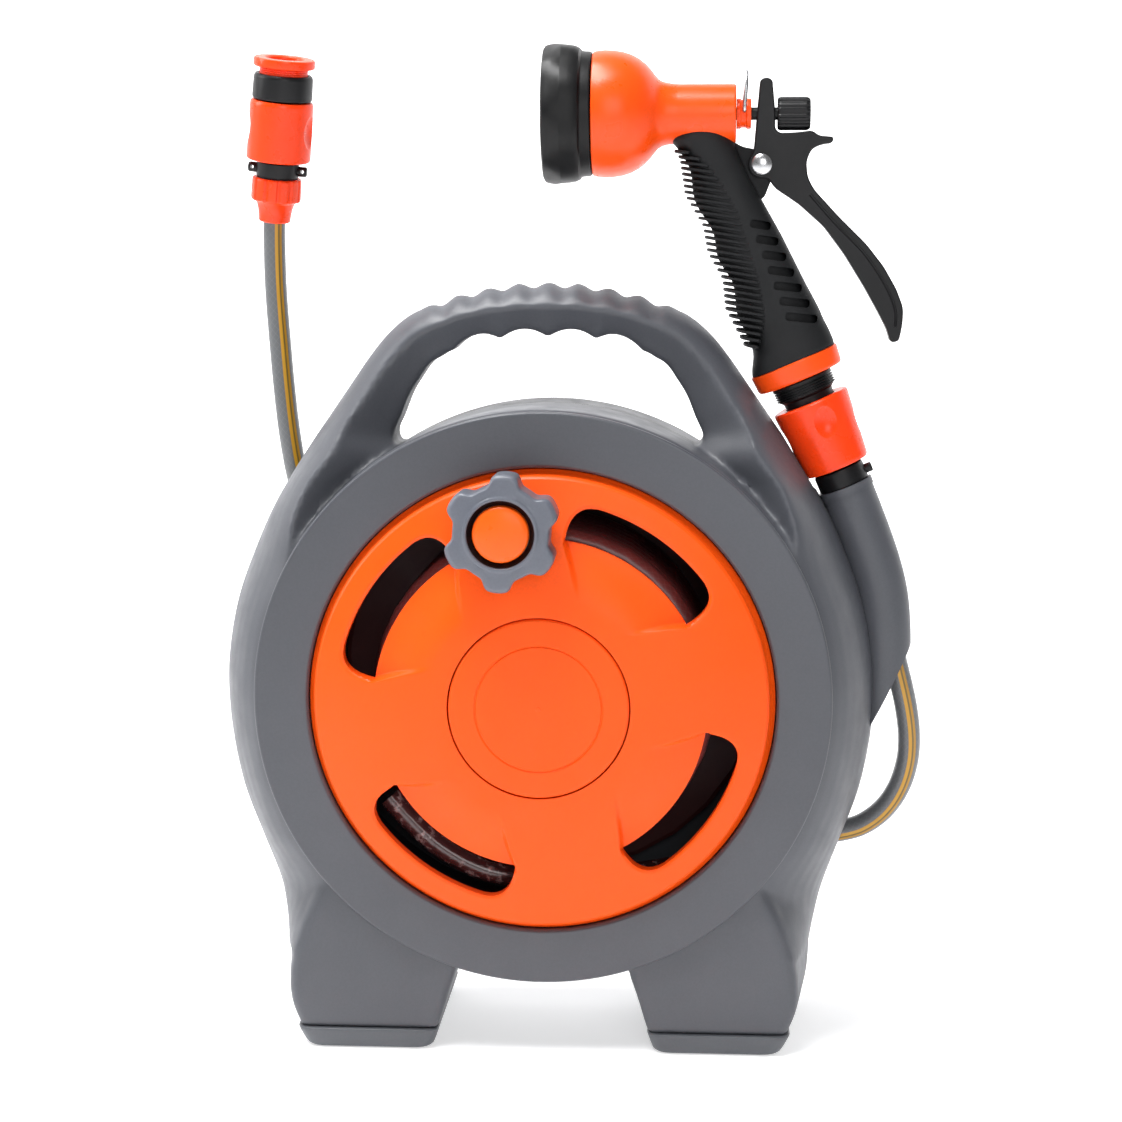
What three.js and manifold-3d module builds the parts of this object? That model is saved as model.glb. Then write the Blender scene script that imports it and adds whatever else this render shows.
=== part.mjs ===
// Portable garden hose reel with a carrying handle, a hose tail with a tap connector and a
// spray gun parked in a side holster. Millimetres, +Z up, front of the reel towards -Y.
// The casing frame has X = 0 on the reel axis and Z = 0 on the floor.
import * as THREE from 'three';
import { mergeVertices } from 'three/addons/utils/BufferGeometryUtils.js';
import Module from 'manifold-3d';

const wasm = await Module();
wasm.setup();

// ---------- driving dimensions ----------
const GAP = 0.3;                    // clearance kept between pieces that meet
const SHIFT_X = -8.58;              // moves the casing frame so that the box centre is at X = 0
const SHIFT_Y = 19.08;              // and at Y = 0

const AXIS_Z = 172;                 // height of the reel axis
const DRUM_R = 137;                 // outside radius of the round drum housing
const CAVITY_R = 130;               // inside radius of the drum housing
const FRONT_Y = -61;                // front wall of the drum housing
const BACK_Y = 42;                  // back wall of the drum housing
const RIM_FACETS = 40;              // facets round the drum housing and the bezel
const WALL = 3;                     // wall thickness of the shells
const PART_Y = -8;                  // parting plane of the two shells
const RING_IN = 110.5;              // inner radius of the bezel ring
const RING_OUT = 136.5;             // outer radius of the bezel ring
const RING_FRONT = -65;             // front plane of the bezel ring

const DISC_R = 109.5;               // radius of the orange front disc
const HUB_R = 42.2;                 // radius of the centre cap
const DISC_TURN = 10.5;             // degrees the disc stands turned at rest
const SLOT_IN = 78.3;               // slots in the disc, inner and outer radius
const SLOT_OUT = 96;
const SLOT_HALF = 26;               // half angle of a slot, degrees
const SLOT_CORNER = 7.5;            // angle that a rounded outer corner takes up
const SLOT_COUNT = 4;

const KNOB_R = 85.5;                // distance of the crank knob from the reel axis
const KNOB_ANGLE = 100.5;           // its place round the disc, degrees
const KNOB_FRONT = -104;            // front face of the knob
const KNOB_BACK = -80;

const AXLE_R = 12;                  // fixed water axle
const BUSH_R = 15;                  // outside radius of the plain bushes
const CORE_R = 48;                  // outside radius of the winding core
const FLANGE_Y = 28;                // inner face of the spool's back flange

const HOSE_R = 5.5;                 // outside radius of the hose
const WOUND_R = 82;                 // outside radius of the wound hose

const GUN_Y = -6;                   // plane of the spray gun and its holster
const GUN_TILT = THREE.MathUtils.degToRad(23);
const GUN_FOOT = new THREE.Vector3(117.7, GUN_Y, 329.7);   // top of the grip's orange ring
const BARREL_Z = 446.5;             // height of the gun's barrel axis
const PIVOT = new THREE.Vector2(101.4, 422.7);             // trigger pivot, X and Z

const TAP_BASE = new THREE.Vector3(-140.6, 33, 395.8);     // where the tail enters its nut
const TAP_AXIS = new THREE.Vector3(0.107, -0.155, 0.982).normalize();

// ---------- materials ----------
const finish = (color, roughness, metalness = 0) =>
  new THREE.MeshStandardMaterial({ color, roughness, metalness });
const greyPlastic = () => finish(0x5f6168, 0.5);
const orangePlastic = () => finish(0xff6414, 0.4);
const blackPlastic = () => finish(0x1c1d1f, 0.45);
const softBlack = () => finish(0x222326, 0.75);
const hoseVinyl = () => finish(0x77787a, 0.4);
const steel = () => finish(0xc8c8c8, 0.3, 1);
const seal = () => finish(0x101010, 0.8);

// ---------- solids ----------
function solid(geometry) {
  const bare = geometry.clone();
  bare.deleteAttribute('normal');
  bare.deleteAttribute('uv');
  const merged = mergeVertices(bare, 1e-4);
  const vertProperties = new Float32Array(merged.attributes.position.array);
  const triVerts = withoutSlivers(merged.index.array);
  if (signedVolume(vertProperties, triVerts) < 0) {
    for (let i = 0; i < triVerts.length; i += 3) {
      [triVerts[i], triVerts[i + 1]] = [triVerts[i + 1], triVerts[i]];
    }
  }
  return new wasm.Manifold(new wasm.Mesh({ numProp: 3, vertProperties, triVerts }));
}

// Drops triangles that lost a side when their vertices were merged.
function withoutSlivers(triangles) {
  const kept = [];
  for (let i = 0; i < triangles.length; i += 3) {
    const [a, b, c] = triangles.slice(i, i + 3);
    if (a !== b && b !== c && c !== a) kept.push(a, b, c);
  }
  return new Uint32Array(kept);
}

function signedVolume(points, triangles) {
  const a = new THREE.Vector3();
  const b = new THREE.Vector3();
  const c = new THREE.Vector3();
  let sum = 0;
  for (let i = 0; i < triangles.length; i += 3) {
    a.fromArray(points, 3 * triangles[i]);
    b.fromArray(points, 3 * triangles[i + 1]);
    c.fromArray(points, 3 * triangles[i + 2]);
    sum += a.dot(b.cross(c));
  }
  return sum;
}

function geometryOf(body) {
  const mesh = body.getMesh();
  const geometry = new THREE.BufferGeometry();
  const points = new Float32Array(mesh.vertProperties);
  geometry.setAttribute('position', new THREE.BufferAttribute(points, 3));
  geometry.setIndex(new THREE.BufferAttribute(new Uint32Array(mesh.triVerts), 1));
  return geometry;
}

const join = (...bodies) => bodies.reduce((a, b) => a.add(b));

// A shape drawn in X and Z, extruded from y0 to y1.
function slab(shape, y0, y1, curveSegments = 12) {
  const geometry = new THREE.ExtrudeGeometry(shape,
    { depth: y1 - y0, bevelEnabled: false, curveSegments });
  geometry.rotateX(Math.PI / 2);
  geometry.translate(0, y1, 0);
  return solid(geometry);
}

// A profile of [radius, y] pairs turned about the Y axis at (x, z).
function turned(profile, x = 0, z = 0, segments = 20) {
  const points = profile.map(([r, y]) => new THREE.Vector2(r, y));
  if (profile[0][0] > 0) points.push(points[0].clone());
  const geometry = new THREE.LatheGeometry(points, segments);
  geometry.translate(x, 0, z);
  return solid(geometry);
}

// The same, about an axis that starts at a point and runs along a direction.
function turnedAlong(profile, origin, direction, segments = 14) {
  const points = profile.map(([r, s]) => new THREE.Vector2(r, s));
  if (profile[0][0] > 0) points.push(points[0].clone());
  const geometry = new THREE.LatheGeometry(points, segments);
  const turn = new THREE.Quaternion().setFromUnitVectors(new THREE.Vector3(0, 1, 0), direction);
  geometry.applyQuaternion(turn);
  geometry.translate(origin.x, origin.y, origin.z);
  return solid(geometry);
}

// A lathe profile of a plain cylinder or tube between two stations.
const rod = (r, s0, s1) => [[0, s0], [r, s0], [r, s1], [0, s1]];
const tube = (inner, outer, s0, s1) => [[inner, s0], [outer, s0], [outer, s1], [inner, s1]];

function box(x0, x1, y0, y1, z0, z1) {
  const geometry = new THREE.BoxGeometry(x1 - x0, y1 - y0, z1 - z0);
  geometry.translate((x0 + x1) / 2, (y0 + y1) / 2, (z0 + z1) / 2);
  return solid(geometry);
}

function outline(points) {
  return new THREE.Shape(points.map(([x, z]) => new THREE.Vector2(x, z)));
}

// A round section swept along a smooth path.
function swept(points, radius, steps, sides = 10) {
  const path = new THREE.CatmullRomCurve3(points, false, 'centripetal');
  const section = new THREE.Shape();
  for (let i = 0; i < sides; i++) {
    const a = (2 * Math.PI * i) / sides;
    const [x, y] = [radius * Math.cos(a), radius * Math.sin(a)];
    if (i === 0) section.moveTo(x, y);
    else section.lineTo(x, y);
  }
  section.closePath();
  return solid(new THREE.ExtrudeGeometry(section, { steps, extrudePath: path, bevelEnabled: false }));
}

// Rings of points, each the same length, skinned into one closed body.
function loft(rings) {
  const count = rings[0].length;
  const points = rings.flat();
  const triangles = [];
  for (let i = 0; i + 1 < rings.length; i++) {
    for (let j = 0; j < count; j++) {
      const k = (j + 1) % count;
      const [a, b, c, d] = [i * count + j, i * count + k, (i + 1) * count + j, (i + 1) * count + k];
      triangles.push(a, b, d, a, d, c);
    }
  }
  for (const [ring, flip] of [[0, true], [rings.length - 1, false]]) {
    const start = ring * count;
    const middle = new THREE.Vector3();
    for (let j = 0; j < count; j++) middle.add(points[start + j]);
    points.push(middle.divideScalar(count));
    const centre = points.length - 1;
    for (let j = 0; j < count; j++) {
      const k = (j + 1) % count;
      if (flip) triangles.push(centre, start + k, start + j);
      else triangles.push(centre, start + j, start + k);
    }
  }
  const geometry = new THREE.BufferGeometry().setFromPoints(points);
  geometry.setIndex(triangles);
  return solid(geometry);
}

const reel = new THREE.Group();
reel.position.set(SHIFT_X, SHIFT_Y, 0);

function add(name, body, material) {
  const mesh = new THREE.Mesh(geometryOf(body), material);
  mesh.name = name;
  reel.add(mesh);
  return mesh;
}

// ---------- hose routes ----------
const route = (points) => points.map(([x, y, z]) => new THREE.Vector3(x, y, z));

// Inside the casing, from the winding to the side port.
const leadPoints = route([
  [-74, -50, 122], [-52, -50, 99.5], [-26, -49, 85.5], [0, -45, 82], [28, -36, 80.5],
  [56, -24, 81], [84, -10, 84.5], [104, 0.5, 88.2], [116, 5.2, 90.2], [126, 7.2, 91.4]]);

// Outside: from the port round in a loop and up through the holster to the gun's connector.
const sprayPoints = route([
  [127.2, 7.4, 91.5], [141, 9, 93.2], [154, 8.5, 96.6], [165.5, 6.5, 105.5], [173.5, 4, 119],
  [177.2, 1, 136], [176.2, -2, 154], [172.4, -4.5, 172], [167.8, -5.8, 190], [164.9, -6, 206],
  [160.5, -6, 222], [154.5, -6, 239.5], [150.2, -6, 250.5]]);

// The tail: from the inlet elbow across the back and up past the left shoulder.
const tailEnd = TAP_BASE.clone().addScaledVector(TAP_AXIS, 9);
const tailPoints = route([
  [-19, 56, 172], [-34, 56, 172], [-52, 56, 173.2], [-80, 54.5, 182.5], [-104, 52, 201],
  [-120, 48, 226], [-129, 43, 252], [-134, 39, 278], [-137, 37, 305], [-139.3, 36.5, 335],
  [-141, 35.8, 365]]).concat([TAP_BASE, tailEnd]);

// ---------- casing ----------
// The casing's rim runs from one leg over the handle to the other. Each station gives the
// outside edge, the inside edge, the place of the ridge between them from 0 to 1, the depth of
// the front ridge, the depth of the front at the inside edge, and the same two at the back.
const HANDLE_BUMP = 14.7;           // spacing of the bumps on top of the handle
const FINGER = 23;                  // spacing of the finger hollows under it
const BUMP_STEPS = 2;               // stations along one bump

function handleStation(x) {
  const bump = 1.5 * (1 - Math.cos((2 * Math.PI * x) / HANDLE_BUMP));
  const crest = 367 - 9.4 * (x / 54) ** 2 - bump;
  const inside = 0.9 * x;
  const hollow = 4 * Math.abs(Math.sin((Math.PI * inside) / FINGER));
  const under = 340.5 - 10 * (inside / 52) ** 3 + hollow;
  return { out: [x, crest], in: [inside, under], ridge: 0.42, yr: -26, yi: -18, br: 12, bi: 4 };
}

const onDrum = (angle, radius = 131) => {
  const a = THREE.MathUtils.degToRad(angle);
  return [radius * Math.cos(a), AXIS_Z + radius * Math.sin(a)];
};

const handleStations = [];
for (let i = 0; i <= 4 * BUMP_STEPS; i++) {
  handleStations.push(handleStation((i * HANDLE_BUMP) / BUMP_STEPS));
}
const shoulderStations = [
  { out: [67, 351.5], in: [56.5, 328.5], ridge: 0.42, yr: -26, yi: -18, br: 12, bi: 4 },
  { out: [78, 342.5], in: [62, 321], ridge: 0.42, yr: -27, yi: -18, br: 13, bi: 4 },
  { out: [87, 331.5], in: [67, 313], ridge: 0.4, yr: -29, yi: -19, br: 15, bi: 5 },
  { out: [95, 320], in: [71, 303], ridge: 0.38, yr: -33, yi: -20, br: 18, bi: 6 },
  { out: [107, 302.5], in: [75, 293], ridge: 0.36, yr: -40, yi: -22, br: 22, bi: 8 },
  { out: [116, 289.5], in: onDrum(57), ridge: 0.34, yr: -47, yi: -25, br: 26, bi: 12 },
  { out: [126.5, 273], in: onDrum(48), ridge: 0.38, yr: -53, yi: -32, br: 29, bi: 18 },
  { out: [136, 256.5], in: onDrum(38), ridge: 0.55, yr: -57.5, yi: -45, br: 31, bi: 26 },
  { out: [145, 236.5], in: onDrum(28), ridge: 0.84, yr: -60, yi: -58, br: 33, bi: 31 },
  { out: [153, 215], in: onDrum(18), ridge: 0.86, yr: -60, yi: -60, br: 34, bi: 34 },
  { out: [157.8, 193], in: onDrum(9), ridge: 0.87, yr: -60, yi: -60, br: 34, bi: 34 },
  { out: [159.5, 172], in: onDrum(0), ridge: 0.87, yr: -60, yi: -60, br: 34, bi: 34 },
  { out: [157.8, 146], in: onDrum(-10), ridge: 0.87, yr: -60, yi: -60, br: 34, bi: 34 },
  { out: [152.5, 119], in: onDrum(-20), ridge: 0.86, yr: -60, yi: -60, br: 34, bi: 34 },
  { out: [143.5, 94], in: onDrum(-31), ridge: 0.84, yr: -60, yi: -60, br: 34, bi: 34 },
  { out: [136, 72], in: onDrum(-43), ridge: 0.84, yr: -60, yi: -60, br: 34, bi: 34 },
];
const rimStations = [...handleStations, ...shoulderStations];
const hollowStations = [
  ...handleStations.filter((_, i) => i % BUMP_STEPS === BUMP_STEPS / 2),
  ...shoulderStations.slice(0, -1),
];

// The section of one station. A positive growth moves every side out, a negative one in.
const FACET = [0.25, 0.62];         // steps along the outer facet between edge and ridge
const ROUND = 0.6;                  // how far the outer facet bulges from a flat chamfer

function rimSection(station, side, grow) {
  const { out, ridge } = station;
  const across = [station.in[0] - out[0], station.in[1] - out[1]];
  const length = Math.hypot(...across);
  const at = (u, y) => {
    const offset = u - (grow / length) * (1 - 2 * u);
    return new THREE.Vector3(side * (out[0] + across[0] * offset), y, out[1] + across[1] * offset);
  };
  const facet = (depth, t) => {
    const angle = (t * Math.PI) / 2;
    const u = ridge * (t * (1 - ROUND) + ROUND * (1 - Math.cos(angle)));
    const y = PART_Y + (depth - PART_Y) * (t * (1 - ROUND) + ROUND * Math.sin(angle));
    return at(u, y);
  };
  const front = FACET.map((t) => facet(station.yr - grow, t));
  const back = FACET.map((t) => facet(station.br + grow, t)).reverse();
  return [at(0, PART_Y), ...front, at(ridge, station.yr - grow), at(1, station.yi - grow),
    at(1, station.bi + grow), at(ridge, station.br + grow), ...back];
}

function rim(stations, grow = 0) {
  const left = stations.slice(1).reverse().map((s) => rimSection(s, -1, grow));
  const right = stations.map((s) => rimSection(s, 1, grow));
  return loft([...left, ...right]);
}

// A leg, as rounded rectangles from the drum down to the foot cap.
const LEG_FRONT = -62;
const LEG_BACK = 38;
const FOOT_H = 10;                  // height of the foot cap

function roundedRing(x0, x1, y0, y1, z, radius, side) {
  const ring = [];
  const corners = [[x1, y1, 0], [x0, y1, 90], [x0, y0, 180], [x1, y0, 270]];
  for (const [x, y, start] of corners) {
    for (const step of [0, 30, 60, 90]) {
      const a = THREE.MathUtils.degToRad(start + step);
      const cx = x === x1 ? x - radius : x + radius;
      const cy = y === y1 ? y - radius : y + radius;
      ring.push(new THREE.Vector3(side * (cx + radius * Math.cos(a)), cy + radius * Math.sin(a), z));
    }
  }
  return ring;
}

function leg(side, inset = 0) {
  const level = (x0, x1, z) =>
    roundedRing(x0 + inset, x1 - inset, LEG_FRONT + inset, LEG_BACK - inset, z, 6, side);
  return loft([
    level(50, 122, FOOT_H + GAP),
    level(46, 130, 26),
    level(41, 131.2, 44),
    level(40, 132.5, 62),
    level(52, 131, 84 - inset),
    level(66, 118, 106 - 3 * inset),
  ]);
}

const bossPlaces = [];
for (const side of [-1, 1]) {
  bossPlaces.push([side * 147, 165], [side * 93, 305], [side * 104, 52]);
}
const BOSS_R = 5;
const SCREW_R = 2;
const SCREW_HEAD_R = 3.8;
const SCREW_SEAT = 18;              // depth of the screw heads, towards the back
const SCREW_TIP = -26;              // and of the screws' front ends

const drumHousing = turned([[0, FRONT_Y], [DRUM_R - 1.5, FRONT_Y], [DRUM_R, FRONT_Y + 1.5],
  [DRUM_R, BACK_Y - 14], [DRUM_R - 3.5, BACK_Y - 5], [DRUM_R - 11, BACK_Y], [0, BACK_Y]],
0, AXIS_Z, RIM_FACETS);
const casingOutside = join(drumHousing, rim(rimStations), leg(-1), leg(1));
const bosses = join(...bossPlaces.map(([x, z]) => turned(rod(BOSS_R, -60, 40), x, z, 12)));
const cavity = turned([[0, FRONT_Y + WALL], [CAVITY_R, FRONT_Y + WALL], [CAVITY_R, BACK_Y - 14],
  [CAVITY_R - 7, BACK_Y - WALL], [0, BACK_Y - WALL]], 0, AXIS_Z, RIM_FACETS);
const mouth = turned(rod(RING_IN + 1, FRONT_Y - 1, FRONT_Y + WALL + 1), 0, AXIS_Z, RIM_FACETS);
const hollows = join(rim(hollowStations, -WALL), leg(-1, WALL), leg(1, WALL)).subtract(
  turned(rod(CAVITY_R + WALL, FRONT_Y - 5, BACK_Y + 5), 0, AXIS_Z, RIM_FACETS));
const footOpening = join(...[-1, 1].map((side) => loft([
  roundedRing(54, 118, LEG_FRONT + WALL, LEG_BACK - WALL, FOOT_H - 1, 4, side),
  roundedRing(54, 118, LEG_FRONT + WALL, LEG_BACK - WALL, FOOT_H + 4, 4, side),
])));

// Seat of the parked gun's connector in the right shoulder.
const gunDown = new THREE.Vector3(Math.sin(GUN_TILT), 0, -Math.cos(GUN_TILT));
const connectorSeat = turnedAlong([[0, -2], [23.5, -2], [22.5, 10], [20, 12], [20, 22], [16.6, 60],
  [14, 62], [14, 72], [0, 72]], GUN_FOOT, gunDown, 18);

// Ports: the hose leaves through the right side, the water axle comes in at the back.
const PORT = new THREE.Vector3(141, 9, 93.2);
const PORT_AXIS = new THREE.Vector3(0.99, 0.09, 0.1).normalize();
const ringSeat = turned(rod(RING_OUT + GAP, FRONT_Y - 6, FRONT_Y), 0, AXIS_Z, RIM_FACETS);
const portHole = turnedAlong(rod(9, -10, 14), PORT, PORT_AXIS);
const leadChannel = swept(leadPoints.slice(5).concat(sprayPoints.slice(1, 2)), HOSE_R + 1.5, 8, 8);
const axleHole = turned(rod(AXLE_R + GAP, BACK_Y - WALL - 8, BACK_Y + 8), 0, AXIS_Z);

const screwHoles = join(...bossPlaces.map(([x, z]) => join(
  turned(rod(SCREW_R + GAP, SCREW_TIP - 2, SCREW_SEAT + 1), x, z, 10),
  turned(rod(SCREW_HEAD_R + 0.5, SCREW_SEAT, 60), x, z, 10))));

const casing = casingOutside
  .subtract(hollows)
  .subtract(footOpening)
  .add(bosses.intersect(casingOutside))
  .subtract(cavity)
  .subtract(mouth)
  .subtract(ringSeat)
  .subtract(connectorSeat)
  .subtract(portHole)
  .subtract(leadChannel)
  .subtract(axleHole)
  .subtract(screwHoles);

const FAR = 400;
const frontHalf = box(-FAR, FAR, -FAR, PART_Y - GAP / 2, -FAR, 2 * FAR);
const backHalf = box(-FAR, FAR, PART_Y + GAP / 2, FAR, -FAR, 2 * FAR);
add('front_casing', casing.intersect(frontHalf), greyPlastic());
add('rear_casing', casing.intersect(backHalf), greyPlastic());

bossPlaces.forEach(([x, z], i) => {
  const screw = turned([[0, SCREW_TIP], [SCREW_R, SCREW_TIP + 2], [SCREW_R, SCREW_SEAT + GAP],
    [SCREW_HEAD_R, SCREW_SEAT + GAP], [SCREW_HEAD_R, SCREW_SEAT + 2.6], [0, SCREW_SEAT + 2.6]],
  x, z, 10);
  add(`casing_screw_${i + 1}`, screw, steel());
});

// Foot caps.
for (const [name, side] of [['left', -1], ['right', 1]]) {
  const cap = loft([
    roundedRing(54, 117, LEG_FRONT + 6, LEG_BACK - 6, 0, 5, side),
    roundedRing(51, 121, LEG_FRONT + 2, LEG_BACK - 2, 2, 6, side),
    roundedRing(50, 122.5, LEG_FRONT - 1, LEG_BACK + 1, FOOT_H, 7, side),
  ]);
  add(`foot_cap_${name}`, cap, greyPlastic());
}

// ---------- bezel ring ----------
const bezel = turned([[RING_IN, FRONT_Y - GAP], [RING_IN, RING_FRONT + 2.2],
  [RING_IN + 2.4, RING_FRONT], [RING_OUT - 1.2, RING_FRONT], [RING_OUT, RING_FRONT + 1.2],
  [RING_OUT, FRONT_Y - GAP]], 0, AXIS_Z, RIM_FACETS);
add('bezel_ring', bezel, greyPlastic());

// ---------- drum ----------
const polar = (radius, angle) => {
  const a = THREE.MathUtils.degToRad(angle);
  return [radius * Math.cos(a), AXIS_Z + radius * Math.sin(a)];
};

// One slot: an arc band with rounded outer corners.
function slotShape(middle) {
  const shape = new THREE.Shape();
  const [from, to] = [middle - SLOT_HALF, middle + SLOT_HALF].map(THREE.MathUtils.degToRad);
  const soft = THREE.MathUtils.degToRad(SLOT_CORNER);
  shape.absarc(0, AXIS_Z, SLOT_IN, from, to, false);
  shape.quadraticCurveTo(...polar(SLOT_OUT, middle + SLOT_HALF),
    ...polar(SLOT_OUT, middle + SLOT_HALF - SLOT_CORNER));
  shape.absarc(0, AXIS_Z, SLOT_OUT, to - soft, from + soft, true);
  shape.quadraticCurveTo(...polar(SLOT_OUT, middle - SLOT_HALF),
    ...polar(SLOT_IN, middle - SLOT_HALF));
  return shape;
}

// A scoop that ramps down from the disc's face to a slot's inner edge.
const SCOOP_TILT = THREE.MathUtils.degToRad(13);
function scoop(middle) {
  const shape = outline([[-13, 50], [13, 50], [36, 73], [35, 86], [20, 93], [0, 95.5],
    [-20, 93], [-35, 86], [-36, 73]]);
  const geometry = new THREE.ExtrudeGeometry(shape, { depth: 30, bevelEnabled: false });
  geometry.rotateX(Math.PI / 2);
  geometry.translate(0, 0, -54);
  geometry.rotateX(SCOOP_TILT);
  geometry.translate(0, -79.6, 54);
  geometry.rotateY(THREE.MathUtils.degToRad(90 - middle));
  geometry.translate(0, 0, AXIS_Z);
  return solid(geometry);
}

const slotAngles = [];
for (let i = 0; i < SLOT_COUNT; i++) slotAngles.push(45 + DISC_TURN + 90 * i);

const KNOB_AT = polar(KNOB_R, KNOB_ANGLE);
const SCREW_RING = 30;              // radius of the circle of flange screws
const flangeScrewPlaces = [0, 90, 180, 270].map((a) => polar(SCREW_RING, a + DISC_TURN));

// Backing behind a scoop, so that its ramp has a wall.
function scoopBacking(middle) {
  const shape = new THREE.Shape();
  const [from, to] = [middle - SLOT_HALF - 2, middle + SLOT_HALF + 2].map(THREE.MathUtils.degToRad);
  shape.absarc(0, AXIS_Z, 62, from, to, false);
  shape.absarc(0, AXIS_Z, SLOT_IN + 1, to, from, true);
  return slab(shape, -74, -68.5, 4);
}

let disc = turned([[BUSH_R + GAP, -62], [BUSH_R + GAP, -71.5], [19, -71.5], [19, -74],
  [HUB_R + 0.5, -74], [HUB_R + 0.5, -81.6],
  [56, -80.2], [75, -77], [95, -72.4], [DISC_R - 3, -69.6], [DISC_R - 0.8, -68.4], [DISC_R, -59.5],
  [DISC_R - 3, -59.5], [DISC_R - 3, -64.5], [75, -72.5], [56, -75.4],
  [CORE_R + 4, -66], [CORE_R + GAP, -66], [CORE_R + GAP, -70],
  [23, -70], [23, -62]], 0, AXIS_Z, 36);
for (const angle of slotAngles) {
  disc = disc.add(scoopBacking(angle)).subtract(scoop(angle));
  disc = disc.subtract(slab(slotShape(angle), -100, -50, 4));
}
disc = disc.add(turned(rod(9, -79.4, -70), ...KNOB_AT, 20));
disc = disc.subtract(turned(rod(5 + GAP, -82, -60), ...KNOB_AT, 20));
for (const [x, z] of flangeScrewPlaces) {
  disc = disc.subtract(turned(rod(SCREW_R + GAP, -80, -60), x, z, 10));
}
add('front_disc', disc, orangePlastic());

const hubCap = turned([[0, -75], [HUB_R - 3, -75], [HUB_R - 3, -74.4], [HUB_R, -74.4],
  [HUB_R, -81.4], [HUB_R - 0.9, -82.2], [30.4, -82.9], [29.6, -82.2], [28.8, -82.9], [0, -83.4]],
0, AXIS_Z, 32);
add('hub_cap', hubCap, orangePlastic());

const spool = turned([[BUSH_R + GAP, 16], [20, 16], [20, FLANGE_Y], [45, FLANGE_Y], [45, -69.6],
  [CORE_R, -69.6], [CORE_R, FLANGE_Y - 1], [104, FLANGE_Y - 1], [106, FLANGE_Y], [106, FLANGE_Y + 3],
  [BUSH_R + GAP, FLANGE_Y + 3]], 0, AXIS_Z, 30);
let spoolBody = spool;
const screwPosts = flangeScrewPlaces.map(([x, z]) => turned(rod(5, -69.6, FLANGE_Y + 1), x, z, 8));
spoolBody = join(spoolBody, ...screwPosts);
for (const [x, z] of flangeScrewPlaces) {
  spoolBody = spoolBody.subtract(turned(rod(SCREW_R + GAP, -75, -48), x, z, 10));
}
add('drum_spool', spoolBody, blackPlastic());

flangeScrewPlaces.forEach(([x, z], i) => {
  const screw = turned([[0, -52], [SCREW_R, -54], [SCREW_R, -74 - GAP], [3.4, -74 - GAP],
    [3.4, -74.9], [0, -74.9]], x, z, 10);
  add(`flange_screw_${i + 1}`, screw, steel());
});

// Crank knob on its pin. The pin's head is the orange button in the knob's face.
const knobLobes = 6;
const knobShape = new THREE.Shape();
for (let i = 0; i < 36; i++) {
  const a = (2 * Math.PI * i) / 36;
  const wave = Math.cos(knobLobes * a);
  const r = 23.6 + 2.7 * wave;
  const point = [r * Math.sin(a), r * Math.cos(a)];
  if (i === 0) knobShape.moveTo(...point);
  else knobShape.lineTo(...point);
}
knobShape.closePath();
const knobBody = new THREE.ExtrudeGeometry(knobShape, { depth: KNOB_BACK - KNOB_FRONT - 3,
  bevelEnabled: true, bevelThickness: 1.5, bevelSize: 1.5, bevelOffset: -1.5, bevelSegments: 1 });
knobBody.rotateX(Math.PI / 2);
knobBody.translate(KNOB_AT[0], KNOB_BACK - 1.5, KNOB_AT[1]);
const knob = solid(knobBody)
  .subtract(turned(rod(6.4, KNOB_FRONT - 1, KNOB_BACK + 1), ...KNOB_AT))
  .subtract(turned(rod(15.4, KNOB_FRONT - 1, KNOB_FRONT + 6), ...KNOB_AT));
add('crank_knob', knob, greyPlastic());

const pin = turned([[0, KNOB_FRONT - 0.4], [11.5, KNOB_FRONT], [13, KNOB_FRONT + 1.4],
  [13, KNOB_FRONT + 5], [6, KNOB_FRONT + 5], [6, KNOB_BACK - GAP], [5, KNOB_BACK - GAP],
  [5, -64], [0, -64]], ...KNOB_AT);
add('crank_pin', pin, orangePlastic());

const pinNut = turned(tube(5 + GAP, 8.5, -67, -64.2), ...KNOB_AT, 16);
add('crank_pin_washer', pinNut, steel());

// Fixed water axle with its bushes, seals and retainer.
const axle = turned([[7, 46], [AXLE_R, 46], [AXLE_R, -71], [7, -71]], 0, AXIS_Z);
add('water_axle', axle, blackPlastic());
for (const [name, y0, y1] of [['front', -71.5, -62.5], ['rear', 17, 30]]) {
  const bush = turned(tube(AXLE_R + GAP, BUSH_R, y0, y1), 0, AXIS_Z);
  add(`${name}_bush`, bush, finish(0xe8e4d8, 0.5));
}
const retainer = turned(rod(18, -73.6, -71.8), 0, AXIS_Z);
add('axle_retainer', retainer, steel());
const backPlate = turned([[AXLE_R + GAP, BACK_Y + GAP], [26, BACK_Y + GAP], [26, BACK_Y + 2.5],
  [24, BACK_Y + 3.5], [AXLE_R + GAP, BACK_Y + 3.5]], 0, AXIS_Z);
add('axle_flange_plate', backPlate, blackPlastic());
add('axle_seal', turned(tube(AXLE_R + 0.1, AXLE_R + 2.4, 12, 14.4), 0, AXIS_Z), seal());

// Inlet elbow behind the axle: a short stub along +Y, then a barb towards -X.
const ELBOW_Y = 56;
const elbow = join(
  turned(rod(14, 46 + GAP, ELBOW_Y + 6), 0, AXIS_Z),
  turnedAlong(rod(8, 0, 18), new THREE.Vector3(0, ELBOW_Y, AXIS_Z), new THREE.Vector3(-1, 0, 0)));
add('inlet_elbow', elbow, blackPlastic());
const elbowNut = turnedAlong([[8 + GAP, 14.5], [10.5, 14.5], [10.5, 24], [8, 29], [HOSE_R + GAP, 29],
  [HOSE_R + GAP, 18.5], [8 + GAP, 18.5]], new THREE.Vector3(0, ELBOW_Y, AXIS_Z),
new THREE.Vector3(-1, 0, 0));
add('inlet_hose_nut', elbowNut, orangePlastic());

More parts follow.
